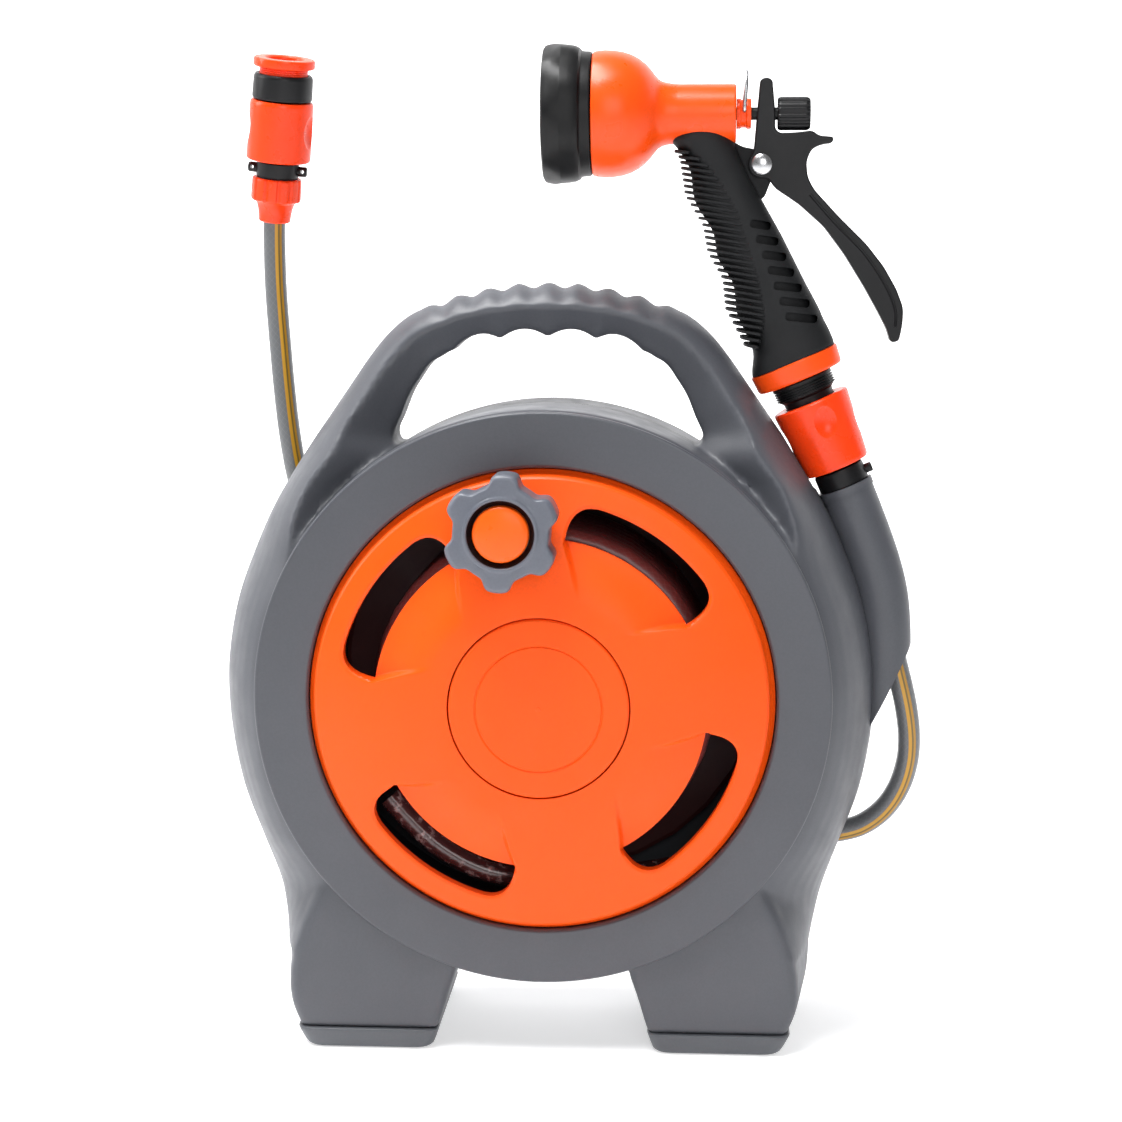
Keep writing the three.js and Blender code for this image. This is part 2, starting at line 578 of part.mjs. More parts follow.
// The wound hose, as its outer shape.
const winding = turned(tube(CORE_R + GAP, WOUND_R, -58, FLANGE_Y - 2), 0, AXIS_Z, 30);
add('hose_winding', winding, hoseVinyl());

// ---------- hose runs ----------
add('hose_lead', swept(leadPoints, HOSE_R, 12), hoseVinyl());

add('spray_hose', swept(sprayPoints, HOSE_R, 20), hoseVinyl());

add('tail_hose', swept(tailPoints, HOSE_R, 28), hoseVinyl());

// Clips that hold the tail on the rear shell, and the grommet in the side port.
const casingGrown = join(drumHousing, rim(rimStations, GAP)).add(
  turned([[0, FRONT_Y], [DRUM_R, FRONT_Y], [DRUM_R + GAP, BACK_Y - 14], [DRUM_R - 3.5, BACK_Y - 4.6],
    [DRUM_R - 11, BACK_Y + GAP], [0, BACK_Y + GAP]], 0, AXIS_Z, RIM_FACETS));
const tailRoom = swept(tailPoints, HOSE_R + GAP, 28);
function hoseClip(at, direction, foot) {
  const origin = at.clone().addScaledVector(direction, -6);
  const ring = turnedAlong(tube(HOSE_R + 0.4, HOSE_R + 3, 0, 12), origin, direction);
  const hole = turnedAlong(rod(HOSE_R + 0.4, -1, 13), origin, direction);
  const slot = box(at.x - 4, at.x + 4, at.y, at.y + 20, at.z - 20, at.z + 20);
  const base = box(at.x - foot.half, at.x + foot.half, foot.y, at.y - 3, at.z - 6, at.z + 6);
  return ring.subtract(slot).add(base.subtract(hole)).subtract(casingGrown).subtract(tailRoom);
}
add('hose_clip_lower', hoseClip(new THREE.Vector3(-92.5, 53.4, 191.2),
  new THREE.Vector3(-0.79, -0.08, 0.61).normalize(), { half: 9, y: BACK_Y - 6 }), blackPlastic());
add('hose_clip_upper', hoseClip(new THREE.Vector3(-124, 45.8, 237),
  new THREE.Vector3(-0.32, -0.18, 0.93).normalize(), { half: 8, y: 16 }), blackPlastic());

const grommet = turnedAlong(tube(HOSE_R + 0.5, 9 - GAP, -8, -0.5), PORT, PORT_AXIS)
  .subtract(swept(sprayPoints, HOSE_R + 0.4, 20));
add('hose_port_grommet', grommet, seal());

// ---------- holster ----------
const holsterPath = route([[143.9, GUN_Y, 268], [150.3, GUN_Y, 252], [157, GUN_Y, 234],
  [161.6, GUN_Y, 217], [163.4, GUN_Y, 200], [163.8, GUN_Y, 180], [163.8, GUN_Y, 150]]);
const borePath = [new THREE.Vector3(140.4, GUN_Y, 276.3), ...holsterPath.slice(1, 6),
  new THREE.Vector3(163.8, GUN_Y, 140)];
const belowMouth = outline([[140, 118], [176.7, 192.5], [210, 192.5], [210, 118]]);
const holster = swept(holsterPath, 13, 10, 16)
  .subtract(swept(borePath, 11.2, 10, 14))
  .subtract(slab(belowMouth, GUN_Y - 30, GUN_Y + 30))
  .subtract(casingGrown);
add('gun_holster', holster, greyPlastic());

// ---------- connector under the gun ----------
const alongGun = (profile, segments) => turnedAlong(profile, GUN_FOOT, gunDown, segments);
const gunConnector = alongGun([[HOSE_R + GAP, 56], [9.6, 56], [12.3, 58.2], [12.3, 65], [10.6, 66],
  [10.6, 80], [8.5, 86], [HOSE_R + GAP, 86]])
  .add(turnedAlong(rod(2.2, 10, 15.6), GUN_FOOT.clone().addScaledVector(gunDown, 62),
    new THREE.Vector3(Math.cos(GUN_TILT), 0, Math.sin(GUN_TILT)), 12));
add('gun_hose_connector', gunConnector.subtract(swept(sprayPoints, HOSE_R + GAP, 20)), blackPlastic());

let gunCollar = alongGun([[12.6, 21.3], [17.6, 21.3], [18.6, 22.3], [15.9, 55.2], [15.2, 55.8],
  [12.6, 55.8]]);
for (const side of [-1, 1]) {
  const dimple = new THREE.SphereGeometry(12, 12, 6);
  const place = GUN_FOOT.clone().addScaledVector(gunDown, 38);
  dimple.translate(place.x, place.y + side * 26, place.z);
  gunCollar = gunCollar.subtract(solid(dimple));
}
add('gun_connector_collar', gunCollar, orangePlastic());

const gunAdaptor = alongGun([[6, 9.8], [15, 9.8], [15, 12], [14, 12.4], [14, 14], [15, 14.4],
  [15, 16.5], [12.9, 18], [12.2, 20.4], [12.2, 30], [9.2, 31], [9.2, 55.4], [6, 55.4]]);
add('gun_inlet_adaptor', gunAdaptor, blackPlastic());

// ---------- spray gun ----------
const gripRing = new THREE.LatheGeometry([[0, 0.2], [21.6, 0.2], [22, 1], [21.2, 8.6], [20.2, 9.5],
  [0, 9.5]].map(([r, s]) => new THREE.Vector2(r, s)), 32);
gripRing.scale(1, 1, 0.82);
const gunTurn = new THREE.Quaternion().setFromUnitVectors(new THREE.Vector3(0, 1, 0), gunDown);
gripRing.applyQuaternion(gunTurn);
gripRing.translate(GUN_FOOT.x, GUN_FOOT.y, GUN_FOOT.z);
add('grip_end_ring', solid(gripRing), orangePlastic());

// The grip: sections between a front edge and a back edge, each a flattened round.
const gripEdges = [
  [[98.2, 321.3], [137.2, 337.9], 16.8],
  [[96.8, 333], [135.5, 342], 17],
  [[89.5, 352], [129, 356], 16],
  [[80, 378], [117.5, 377.5], 14.5],
  [[71, 400], [105.5, 397.5], 13.5],
  [[66, 418], [96, 415], 12.5],
  [[60, 430], [89.5, 430], 12],
  [[57, 437], [87.6, 437], 11.5],
];
const gripRings = gripEdges.map(([front, back, depth]) => {
  const ring = [];
  const centre = [(front[0] + back[0]) / 2, (front[1] + back[1]) / 2];
  const half = [(back[0] - front[0]) / 2, (back[1] - front[1]) / 2];
  for (let i = 0; i < 20; i++) {
    const a = (2 * Math.PI * i) / 20;
    const c = Math.sign(Math.cos(a)) * Math.abs(Math.cos(a)) ** 0.85;
    const s = Math.sign(Math.sin(a)) * Math.abs(Math.sin(a)) ** 0.85;
    ring.push(new THREE.Vector3(centre[0] + half[0] * c, GUN_Y + depth * s, centre[1] + half[1] * c));
  }
  return ring;
});
const barrelAxis = new THREE.Vector3(0, GUN_Y, BARREL_Z);
const alongX = new THREE.Vector3(1, 0, 0);
const barrelRoom = turnedAlong(rod(14 + GAP, 30, 89.2 + GAP), barrelAxis, alongX, 24);
const EAR = 2.6;                    // half thickness of the trigger ear
const ear = slab(outline([[86, 433], [93, 430], [101.4, 429], [106.8, 426], [107.6, 422.7],
  [106, 417.5], [102, 406], [98, 409], [90, 415]]), GUN_Y - EAR, GUN_Y + EAR);
const grip = loft(gripRings).add(ear).subtract(barrelRoom)
  .subtract(turned(rod(2.5 + GAP, -40, 30), PIVOT.x, PIVOT.y, 16));
add('grip', grip, softBlack());

const gunBody = turnedAlong([[7.5, 21], [29, 21], [29.7, 24], [29.9, 30], [28.6, 37], [25, 43.5],
  [19.5, 49.5], [16.2, 52.5], [14.4, 56], [14, 60], [14, 88.4], [13.4, 89.2], [4.6, 89.2],
  [4.6, 84], [7.5, 84]], barrelAxis, alongX, 24);
add('gun_body', gunBody, orangePlastic());
const valveNut = turnedAlong(tube(3.4, 7.2, 89.5, 96.4), barrelAxis, alongX)
  .subtract(turnedAlong(rod(1.3, -9, 9), new THREE.Vector3(93, GUN_Y, BARREL_Z + 1.2),
    new THREE.Vector3(0, 1, 0), 12));
add('valve_gland_nut', valveNut, orangePlastic());

// Pattern dial: a gripped ring with a band behind it, and the spray face inside.
const dialShape = new THREE.Shape();
for (let i = 0; i < 32; i++) {
  const a = (2 * Math.PI * i) / 32;
  const r = 32.9 + 0.7 * Math.cos(8 * a);
  if (i === 0) dialShape.moveTo(r * Math.cos(a), r * Math.sin(a));
  else dialShape.lineTo(r * Math.cos(a), r * Math.sin(a));
}
dialShape.closePath();
const dialGeometry = new THREE.ExtrudeGeometry(dialShape, { depth: 14, bevelEnabled: true,
  bevelThickness: 2, bevelSize: 2, bevelOffset: -2, bevelSegments: 1 });
dialGeometry.rotateY(Math.PI / 2);
dialGeometry.translate(-0.7, GUN_Y, BARREL_Z);
const dial = solid(dialGeometry)
  .add(turnedAlong(rod(29.6, 12, 20.6), barrelAxis, alongX, 24))
  .subtract(turnedAlong(rod(27.5, -4, 3), barrelAxis, alongX, 24))
  .subtract(turnedAlong(rod(7.5, -4, 25), barrelAxis, alongX));
add('pattern_dial', dial, blackPlastic());
let face = turnedAlong([[0, -1.6], [20, -1.6], [27.2, 0.2], [27.2, 2.7], [0, 2.7]],
  barrelAxis, alongX, 24);
for (let i = 0; i < 8; i++) {
  const a = (2 * Math.PI * i) / 8;
  const at = new THREE.Vector3(0, GUN_Y + 17 * Math.cos(a), BARREL_Z + 17 * Math.sin(a));
  face = face.subtract(turnedAlong(rod(2.4, -4, 1), at, alongX, 6));
}
add('spray_face', face, finish(0x6a6c70, 0.5));
add('dial_spindle', turnedAlong(tube(3, 7.2, 3.2, 30), barrelAxis, alongX), blackPlastic());

// Trigger lever: a fork over the ear, a slotted tab round the stem and a long curved arm.
const lever = slab(outline([
  [100.3, 462.2], [103.2, 463.4], [106.2, 462.2], [107.6, 447.3], [107.7, 439.1],
  [110, 437.3], [118, 437.6], [125.4, 438.5], [128.3, 436.1], [135.4, 435.5], [134.9, 432.6],
  [129.6, 432], [124.9, 429.7], [122.6, 423.9], [123.3, 416.8], [126.3, 411], [138.4, 398],
  [151.6, 385.1], [160, 374.5], [166.2, 363.8], [169.6, 355], [169.4, 347.2], [167.8, 338.9],
  [163.7, 338.3], [161.8, 344.8], [156.8, 354.3], [150.7, 365], [141, 380.4], [131.3, 393.3],
  [119.3, 403.9], [108, 411.4], [104.4, 416.6], [99.4, 416.2], [95.6, 419.2], [94.8, 424],
  [97.6, 428.6]]), GUN_Y - 6, GUN_Y + 6)
  .subtract(box(80, 109, GUN_Y - EAR - GAP, GUN_Y + EAR + GAP, 396, 431.5))
  .subtract(box(96, 112, GUN_Y - 3.5, GUN_Y + 3.5, 440.6, 453))
  .subtract(turned(rod(2.5 + GAP, -40, 30), PIVOT.x, PIVOT.y, 16));
add('trigger_lever', lever, blackPlastic());

const ADJUSTER_START = 108.7;       // front end of the flow adjuster, along the barrel
const ADJUSTER_LENGTH = 16;
const PIN_HALF = 6 + GAP;
const rivet = turned([[0, -PIN_HALF - 1.6], [3.6, -PIN_HALF - 1.6], [4.9, -PIN_HALF - 0.8],
  [4.9, -PIN_HALF], [2.5, -PIN_HALF], [2.5, PIN_HALF], [4.9, PIN_HALF], [4.9, PIN_HALF + 0.8],
  [3.6, PIN_HALF + 1.6], [0, PIN_HALF + 1.6]].map(([r, y]) => [r, y + GUN_Y]), PIVOT.x, PIVOT.y, 12);
add('trigger_pivot_pin', rivet, steel());

const stem = turnedAlong(rod(3, 70, ADJUSTER_START + ADJUSTER_LENGTH), barrelAxis, alongX, 16);
add('valve_stem', stem, blackPlastic());

const flutes = new THREE.Shape();
for (let i = 0; i < 32; i++) {
  const a = (2 * Math.PI * i) / 32;
  const r = i % 4 < 2 ? 7.9 : 7.2;
  if (i === 0) flutes.moveTo(r * Math.cos(a), r * Math.sin(a));
  else flutes.lineTo(r * Math.cos(a), r * Math.sin(a));
}
flutes.closePath();
const adjusterGeometry = new THREE.ExtrudeGeometry(flutes,
  { depth: ADJUSTER_LENGTH, bevelEnabled: false });
adjusterGeometry.rotateY(Math.PI / 2);
adjusterGeometry.translate(ADJUSTER_START, GUN_Y, BARREL_Z);
const adjuster = solid(adjusterGeometry)
  .subtract(turnedAlong(rod(3 + GAP, 105, 130), barrelAxis, alongX, 16));
add('flow_adjuster', adjuster, blackPlastic());

// Wire bail on the gland nut, which locks the trigger.
const BAIL_HALF = 8.4;
const bailPoints = route([[93, -9, 0], [93.2, -BAIL_HALF, 5], [93.8, -BAIL_HALF, 12],
  [94, -6.5, 17.2], [94, 0, 18.6], [94, 6.5, 17.2], [93.8, BAIL_HALF, 12], [93.2, BAIL_HALF, 5],
  [93, 9, 0]]).map((p) => p.add(new THREE.Vector3(0, GUN_Y, BARREL_Z + 1.2)));
const bail = swept(bailPoints, 0.9, 12, 6)
  .add(turnedAlong(rod(0.9, -9.6, -6), new THREE.Vector3(93, GUN_Y, BARREL_Z + 1.2),
    new THREE.Vector3(0, 1, 0), 10))
  .add(turnedAlong(rod(0.9, 6, 9.6), new THREE.Vector3(93, GUN_Y, BARREL_Z + 1.2),
    new THREE.Vector3(0, 1, 0), 10));
add('trigger_lock_bail', bail, steel());

// ---------- tap connector on the tail ----------
const alongTap = (profile, segments) => turnedAlong(profile, TAP_BASE, TAP_AXIS, segments);
const tapNut = alongTap([[HOSE_R + GAP, 0], [8.1, 0], [8.3, 4], [9.8, 10], [11.4, 10.6],
  [12.4, 12], [12.4, 21], [11.6, 22], [10.2, 22], [10.2, 12], [HOSE_R + GAP, 9]]);
add('tap_hose_nut', tapNut, orangePlastic());
const across = new THREE.Vector3(0, 1, 0).cross(TAP_AXIS).normalize();
const tapEar = (side) => turnedAlong(rod(2.3, 8, 14.6),
  TAP_BASE.clone().addScaledVector(TAP_AXIS, 26), across.clone().multiplyScalar(side), 12);
const tapBody = alongTap([[4.4, 9.3], [5.4, 9.3], [9.8, 12.6], [9.8, 22.4], [10.4, 23],
  [10.4, 29.4], [9.8, 30], [9.8, 46], [5, 46]]).add(tapEar(1)).add(tapEar(-1));
add('tap_connector_body', tapBody, blackPlastic());
const tapCollar = alongTap([[10.8, 30.6], [15.4, 30.6], [15.9, 31.4], [15.6, 59.2], [15, 60],
  [12.9, 60], [12.9, 48], [10.8, 48]]);
add('tap_connector_collar', tapCollar, orangePlastic());
const tapAdaptor = alongTap([[6.5, 47], [9.4, 47], [9.4, 59], [12.4, 60.4], [14.4, 60.6], [14.7, 61.4],
  [14.5, 71.6], [13.4, 73], [12.3, 73], [12.3, 62], [6.5, 61]]);
add('tap_adaptor', tapAdaptor, blackPlastic());
const tapReducer = alongTap([[8.6, 62.6], [11.9, 62.6], [11.9, 76.4], [14.7, 76.4], [15, 77],
  [15, 80], [14.6, 80.6], [9.8, 80.6], [8.6, 79]]);
add('tap_thread_reducer', tapReducer, orangePlastic());

export default reel;
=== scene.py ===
"""Looks for a portable garden hose reel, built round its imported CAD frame.

Lengths here are millimetres in the casing's own axes: X = 0 on the reel's axis, Z = 0 on the floor
and the front towards -Y. place() turns them into the frame's metres.
"""
import math

import bmesh
import bpy
from mathutils import Matrix, Vector


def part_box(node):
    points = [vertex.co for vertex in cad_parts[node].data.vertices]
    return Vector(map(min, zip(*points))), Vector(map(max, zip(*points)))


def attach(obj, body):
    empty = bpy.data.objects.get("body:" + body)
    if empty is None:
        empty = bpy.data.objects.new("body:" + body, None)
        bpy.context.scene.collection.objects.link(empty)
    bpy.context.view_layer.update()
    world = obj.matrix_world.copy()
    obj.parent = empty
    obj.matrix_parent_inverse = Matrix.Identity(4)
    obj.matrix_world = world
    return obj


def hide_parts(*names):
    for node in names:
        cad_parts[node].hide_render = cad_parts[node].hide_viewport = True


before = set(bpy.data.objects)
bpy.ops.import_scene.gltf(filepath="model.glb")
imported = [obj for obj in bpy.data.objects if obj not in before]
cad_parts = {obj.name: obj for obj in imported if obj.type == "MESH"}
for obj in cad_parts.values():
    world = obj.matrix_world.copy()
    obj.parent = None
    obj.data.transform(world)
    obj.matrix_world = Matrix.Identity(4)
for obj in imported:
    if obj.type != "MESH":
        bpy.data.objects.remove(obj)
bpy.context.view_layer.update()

MM = 0.001
RING_FRONT = -65.0                  # front plane of the bezel ring
AXIS_Z = 172.0                      # height of the reel's axis
ring_low, ring_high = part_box("bezel_ring")
SHIFT = Vector(((ring_low.x + ring_high.x) / 2 / MM, ring_low.y / MM - RING_FRONT, 0))


# ---------- small tools ----------
def place(point):
    return (Vector(point) + SHIFT) * MM


def polar(radius, degrees):
    angle = math.radians(degrees)
    return radius * math.cos(angle), AXIS_Z + radius * math.sin(angle)


def smooth_step(low, high, value):
    t = min(max((value - low) / (high - low), 0.0), 1.0)
    return t * t * (3 - 2 * t)


def linked(name, data):
    """A new object in the scene that shows the given data."""
    obj = bpy.data.objects.new(name, data)
    bpy.context.scene.collection.objects.link(obj)
    return obj


def settle(obj):
    """Applies the object's modifiers."""
    graph = bpy.context.evaluated_depsgraph_get()
    mesh = bpy.data.meshes.new_from_object(obj.evaluated_get(graph))
    obj.modifiers.clear()
    old = obj.data
    obj.data = mesh
    bpy.data.meshes.remove(old)
    return obj


def modify(obj, kind, **settings):
    modifier = obj.modifiers.new(kind.lower(), kind)
    for key, value in settings.items():
        setattr(modifier, key, value)
    return settle(obj)


def solid(name, points, faces):
    """A new object from points in millimetres, with its normals facing out."""
    mesh = bpy.data.meshes.new(name)
    mesh.from_pydata([place(p) for p in points], [], faces)
    shape = bmesh.new()
    shape.from_mesh(mesh)
    bmesh.ops.remove_doubles(shape, verts=shape.verts, dist=1e-6)
    bmesh.ops.recalc_face_normals(shape, faces=shape.faces)
    shape.to_mesh(mesh)
    shape.free()
    return linked(name, mesh)


def loft(name, rings, closed=False):
    """Rings of points, each the same length, skinned into one closed body."""
    count = len(rings[0])
    faces = []
    for i in range(len(rings) if closed else len(rings) - 1):
        here, there = i * count, (i + 1) % len(rings) * count
        for j in range(count):
            k = (j + 1) % count
            faces.append((here + j, here + k, there + k, there + j))
    if not closed:
        faces.append(tuple(range(count)))
        faces.append(tuple(range((len(rings) - 1) * count, len(rings) * count)))
    return solid(name, [p for ring in rings for p in ring], faces)


def bend(start, corner, end, t):
    """A point of the quadratic curve that rounds a corner."""
    return start * (1 - t) ** 2 + corner * 2 * t * (1 - t) + end * t ** 2


def rounded(points, radius, steps=4):
    """A closed outline with its corners rounded. A point's third number is its own radius."""
    result = []
    for i, point in enumerate(points):
        here = Vector(point[:2])
        before = Vector(points[i - 1][:2])
        after = Vector(points[(i + 1) % len(points)][:2])
        reach = point[2] if len(point) > 2 else radius
        reach = min(reach, 0.48 * (before - here).length, 0.48 * (after - here).length)
        if reach <= 0:
            result.append(tuple(here))
            continue
        start = here + (before - here).normalized() * reach
        end = here + (after - here).normalized() * reach
        result += [tuple(bend(start, here, end, step / steps)) for step in range(steps + 1)]
    return result


def axes_of(direction):
    """Two directions that make a right-handed set with the given one."""
    along = Vector(direction).normalized()
    other = Vector((0, 0, 1)) if abs(along.z) < 0.9 else Vector((0, 1, 0))
    first = other.cross(along).normalized()
    return first, along.cross(first)


def lathe(name, profile, origin, direction, segments=96, squash=1.0, wave=None):
    """A closed profile of (radius, distance) turned about an axis. wave(angle, radius, distance)
    gives the radius where the outline isn't round; squash flattens it along the second axis."""
    first, second = axes_of(direction)
    along = Vector(direction).normalized()
    rings = []
    for i in range(segments):
        angle = 2 * math.pi * i / segments
        ring = []
        for r, s in profile:
            reach = wave(angle, r, s) if wave else r
            side = first * math.cos(angle) * reach + second * math.sin(angle) * reach * squash
            ring.append(Vector(origin) + side + along * s)
        rings.append(ring)
    return loft(name, rings, closed=True)


def turned(name, profile, segments=128, x=0.0, z=AXIS_Z, wave=None):
    """A lathe about a line along Y through (x, z), whose profile is (radius, y)."""
    return lathe(name, profile, (x, 0, z), (0, 1, 0), segments, wave=wave)


def disc_profile(radius, start, end):
    return [(0, start), (radius, start), (radius, end), (0, end)]


def prism(name, outline, y0, y1):
    """An outline in X and Z, given a thickness along Y."""
    return loft(name, [[(x, y, z) for x, z in outline] for y in (y0, y1)])


def ball(name, centre, radius, stretch=1.0, segments=40):
    """A sphere, stretched along Z."""
    steps = 20
    profile = [(radius * math.sin(math.pi * i / steps), -radius * stretch * math.cos(math.pi * i / steps))
               for i in range(steps + 1)]
    return lathe(name, profile, centre, (0, 0, 1), segments)


def block(name, x0, x1, y0, y1, z0, z1):
    return prism(name, [(x0, z0), (x1, z0), (x1, z1), (x0, z1)], y0, y1)


def smooth_route(points, steps):
    """Points along the centripetal Catmull-Rom curve through the given ones."""
    knots = [Vector(p) for p in points]
    knots = [2 * knots[0] - knots[1], *knots, 2 * knots[-1] - knots[-2]]
    result = []
    for i in range(1, len(knots) - 2):
        four = knots[i - 1:i + 3]
        times = [0.0]
        for a, b in zip(four, four[1:]):
            times.append(times[-1] + max((b - a).length ** 0.5, 1e-6))
        for step in range(steps):
            t = times[1] + (times[2] - times[1]) * step / steps
            layer = list(four)
            for depth in (1, 2, 3):
                layer = [
                    (layer[j] * (times[j + depth] - t) + layer[j + 1] * (t - times[j]))
                    / (times[j + depth] - times[j])
                    for j in range(4 - depth)
                ]
            result.append(layer[0])
    return [*result, knots[-2]]


def frames_along(path, start=None):
    """Two side directions at each point of a path, carried along it without twist."""
    result = []
    side = None
    for i, point in enumerate(path):
        along = (path[min(i + 1, len(path) - 1)] - path[max(i - 1, 0)]).normalized()
        if side is None:
            side = start.copy() if start else axes_of(along)[0]
        side = (side - along * side.dot(along)).normalized()
        result.append((side.copy(), along.cross(side)))
    return result


def tube(name, path, radius, sides=24, start=None):
    """A round tube along a path, with a UV map: round the tube, and along it in metres."""
    frames = frames_along(path, start)
    rings = []
    for i, (point, (side, up)) in enumerate(zip(path, frames)):
        r = radius(i / (len(path) - 1)) if callable(radius) else radius
        turn = [2 * math.pi * j / sides for j in range(sides)]
        rings.append([point + side * math.cos(a) * r + up * math.sin(a) * r for a in turn])
    obj = loft(name, rings)
    run = [0.0]
    for a, b in zip(path, path[1:]):
        run.append(run[-1] + (b - a).length * MM)
    uv = obj.data.uv_layers.new(name="along")
    for face in obj.data.polygons:
        around = [obj.data.loops[k].vertex_index % sides for k in face.loop_indices]
        wraps = max(around) - min(around) > sides / 2
        for k, position in zip(face.loop_indices, around):
            row = obj.data.loops[k].vertex_index // sides
            lap = position + sides if wraps and position < sides / 2 else position
            uv.data[k].uv = (lap / sides, run[row])
    return obj


def cut(obj, *tools, operation="DIFFERENCE"):
    for tool in tools:
        modify(obj, "BOOLEAN", operation=operation, solver="MANIFOLD", object=tool)
        bpy.data.objects.remove(tool)
    return obj


def soften(obj, width, segments=3, angle=30):
    """Rounds the edges that are sharper than an angle."""
    return modify(obj, "BEVEL", width=width * MM, segments=segments, limit_method="ANGLE",
                  angle_limit=math.radians(angle), harden_normals=False)


def merged(name, *parts):
    """One object that holds all the parts' meshes."""
    shape = bmesh.new()
    for part in parts:
        shape.from_mesh(part.data)
    mesh = bpy.data.meshes.new(name)
    shape.to_mesh(mesh)
    shape.free()
    for part in parts:
        bpy.data.objects.remove(part)
    return linked(name, mesh)


def shade(obj, angle=35):
    obj.data.shade_smooth()
    obj.data.set_sharp_from_angle(angle=math.radians(angle))


def show(obj, body, material, slot, *nodes, angle=35):
    """Gives a finished piece its material, its body and the CAD nodes that it stands for."""
    obj.data.materials.clear()
    obj.data.materials.append(material)
    shade(obj, angle)
    modify(obj, "WEIGHTED_NORMAL", keep_sharp=True)
    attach(obj, body)
    if nodes:
        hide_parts(*nodes)
    return obj


# ---------- materials ----------
def linear(rgb):
    """Linear values from the sRGB ones, 0 to 255."""
    values = [c / 255 for c in rgb]
    return [v / 12.92 if v <= 0.04045 else ((v + 0.055) / 1.055) ** 2.4 for v in values]


class Nodes:
    """Short calls to build a material's node tree."""

    def __init__(self, name):
        self.material = bpy.data.materials.new(name)
        self.material.use_nodes = True
        self.tree = self.material.node_tree
        self.shader = self.tree.nodes["Principled BSDF"]
        self.where = self.add("ShaderNodeTexCoord").outputs["Object"]

    def add(self, kind, **settings):
        node = self.tree.nodes.new(kind)
        for key, value in settings.items():
            setattr(node, key, value)
        return node

    def link(self, source, target):
        self.tree.links.new(source, target)

    def feed(self, socket, value):
        """Gives a socket a link, a colour or a plain number."""
        if isinstance(value, bpy.types.NodeSocket):
            self.link(value, socket)
        elif hasattr(value, "__len__"):
            socket.default_value = (*value, 1)
        else:
            socket.default_value = value

    def noise(self, scale, detail=3.0, roughness=0.5, vector=None):
        node = self.add("ShaderNodeTexNoise")
        node.inputs["Scale"].default_value = scale
        node.inputs["Detail"].default_value = detail
        node.inputs["Roughness"].default_value = roughness
        self.link(vector or self.where, node.inputs["Vector"])
        return node.outputs["Fac"]

    def ramp(self, factor, stops):
        """A colour ramp with stops of (position, colour or grey value)."""
        node = self.add("ShaderNodeValToRGB")
        while len(node.color_ramp.elements) < len(stops):
            node.color_ramp.elements.new(0.5)
        for element, (position, colour) in zip(node.color_ramp.elements, stops):
            element.position = position
            element.color = (*colour, 1) if hasattr(colour, "__len__") else (*(colour,) * 3, 1)
        self.link(factor, node.inputs["Fac"])
        return node.outputs["Color"]

    def mix(self, factor, one, two, blend="MIX"):
        node = self.add("ShaderNodeMix", data_type="RGBA", blend_type=blend)
        for socket, value in ((node.inputs["Factor"], factor), (node.inputs["A"], one),
                              (node.inputs["B"], two)):
            self.feed(socket, value)
        return node.outputs["Result"]

    def maths(self, operation, *values):
        node = self.add("ShaderNodeMath", operation=operation)
        for socket, value in zip(node.inputs, values):
            self.feed(socket, value)
        return node.outputs[0]

    def bump(self, height, strength, distance):
        node = self.add("ShaderNodeBump")
        node.inputs["Strength"].default_value = strength
        node.inputs["Distance"].default_value = distance
        self.link(height, node.inputs["Height"])
        before = self.shader.inputs["Normal"].links
        if before:
            self.link(before[0].from_socket, node.inputs["Normal"])
        self.link(node.outputs["Normal"], self.shader.inputs["Normal"])

    def set(self, **values):
        for key, value in values.items():
            self.feed(self.shader.inputs[key.replace("_", " ")], value)


def plastic(name, rgb, roughness, grain=0.3, grain_size=0.35, mottle=0.06, **more):
    """Moulded plastic: a fine spark-eroded grain, faint flow marks and small scuffs."""
    nodes = Nodes(name)
    colour = linear(rgb)
    flow = nodes.ramp(nodes.noise(9, 4, 0.55), [
        (0.3, [c * (1 - mottle) for c in colour]), (0.7, [min(c * (1 + mottle), 1) for c in colour])])
    specks = nodes.ramp(nodes.noise(900, 2, 0.6), [(0.35, 0.93), (0.65, 1.0)])
    nodes.set(Base_Color=nodes.mix(1.0, flow, specks, "MULTIPLY"))
    wear = nodes.ramp(nodes.noise(60, 5, 0.6), [
        (0.35, max(roughness - 0.06, 0.02)), (0.7, min(roughness + 0.07, 1.0))])
    nodes.set(Roughness=wear)
    nodes.bump(nodes.noise(1 / (grain_size * MM), 2, 0.5), grain, 0.00006)
    nodes.bump(nodes.noise(45, 2, 0.4), 0.12, 0.0004)
    nodes.set(**more)
    return nodes.material


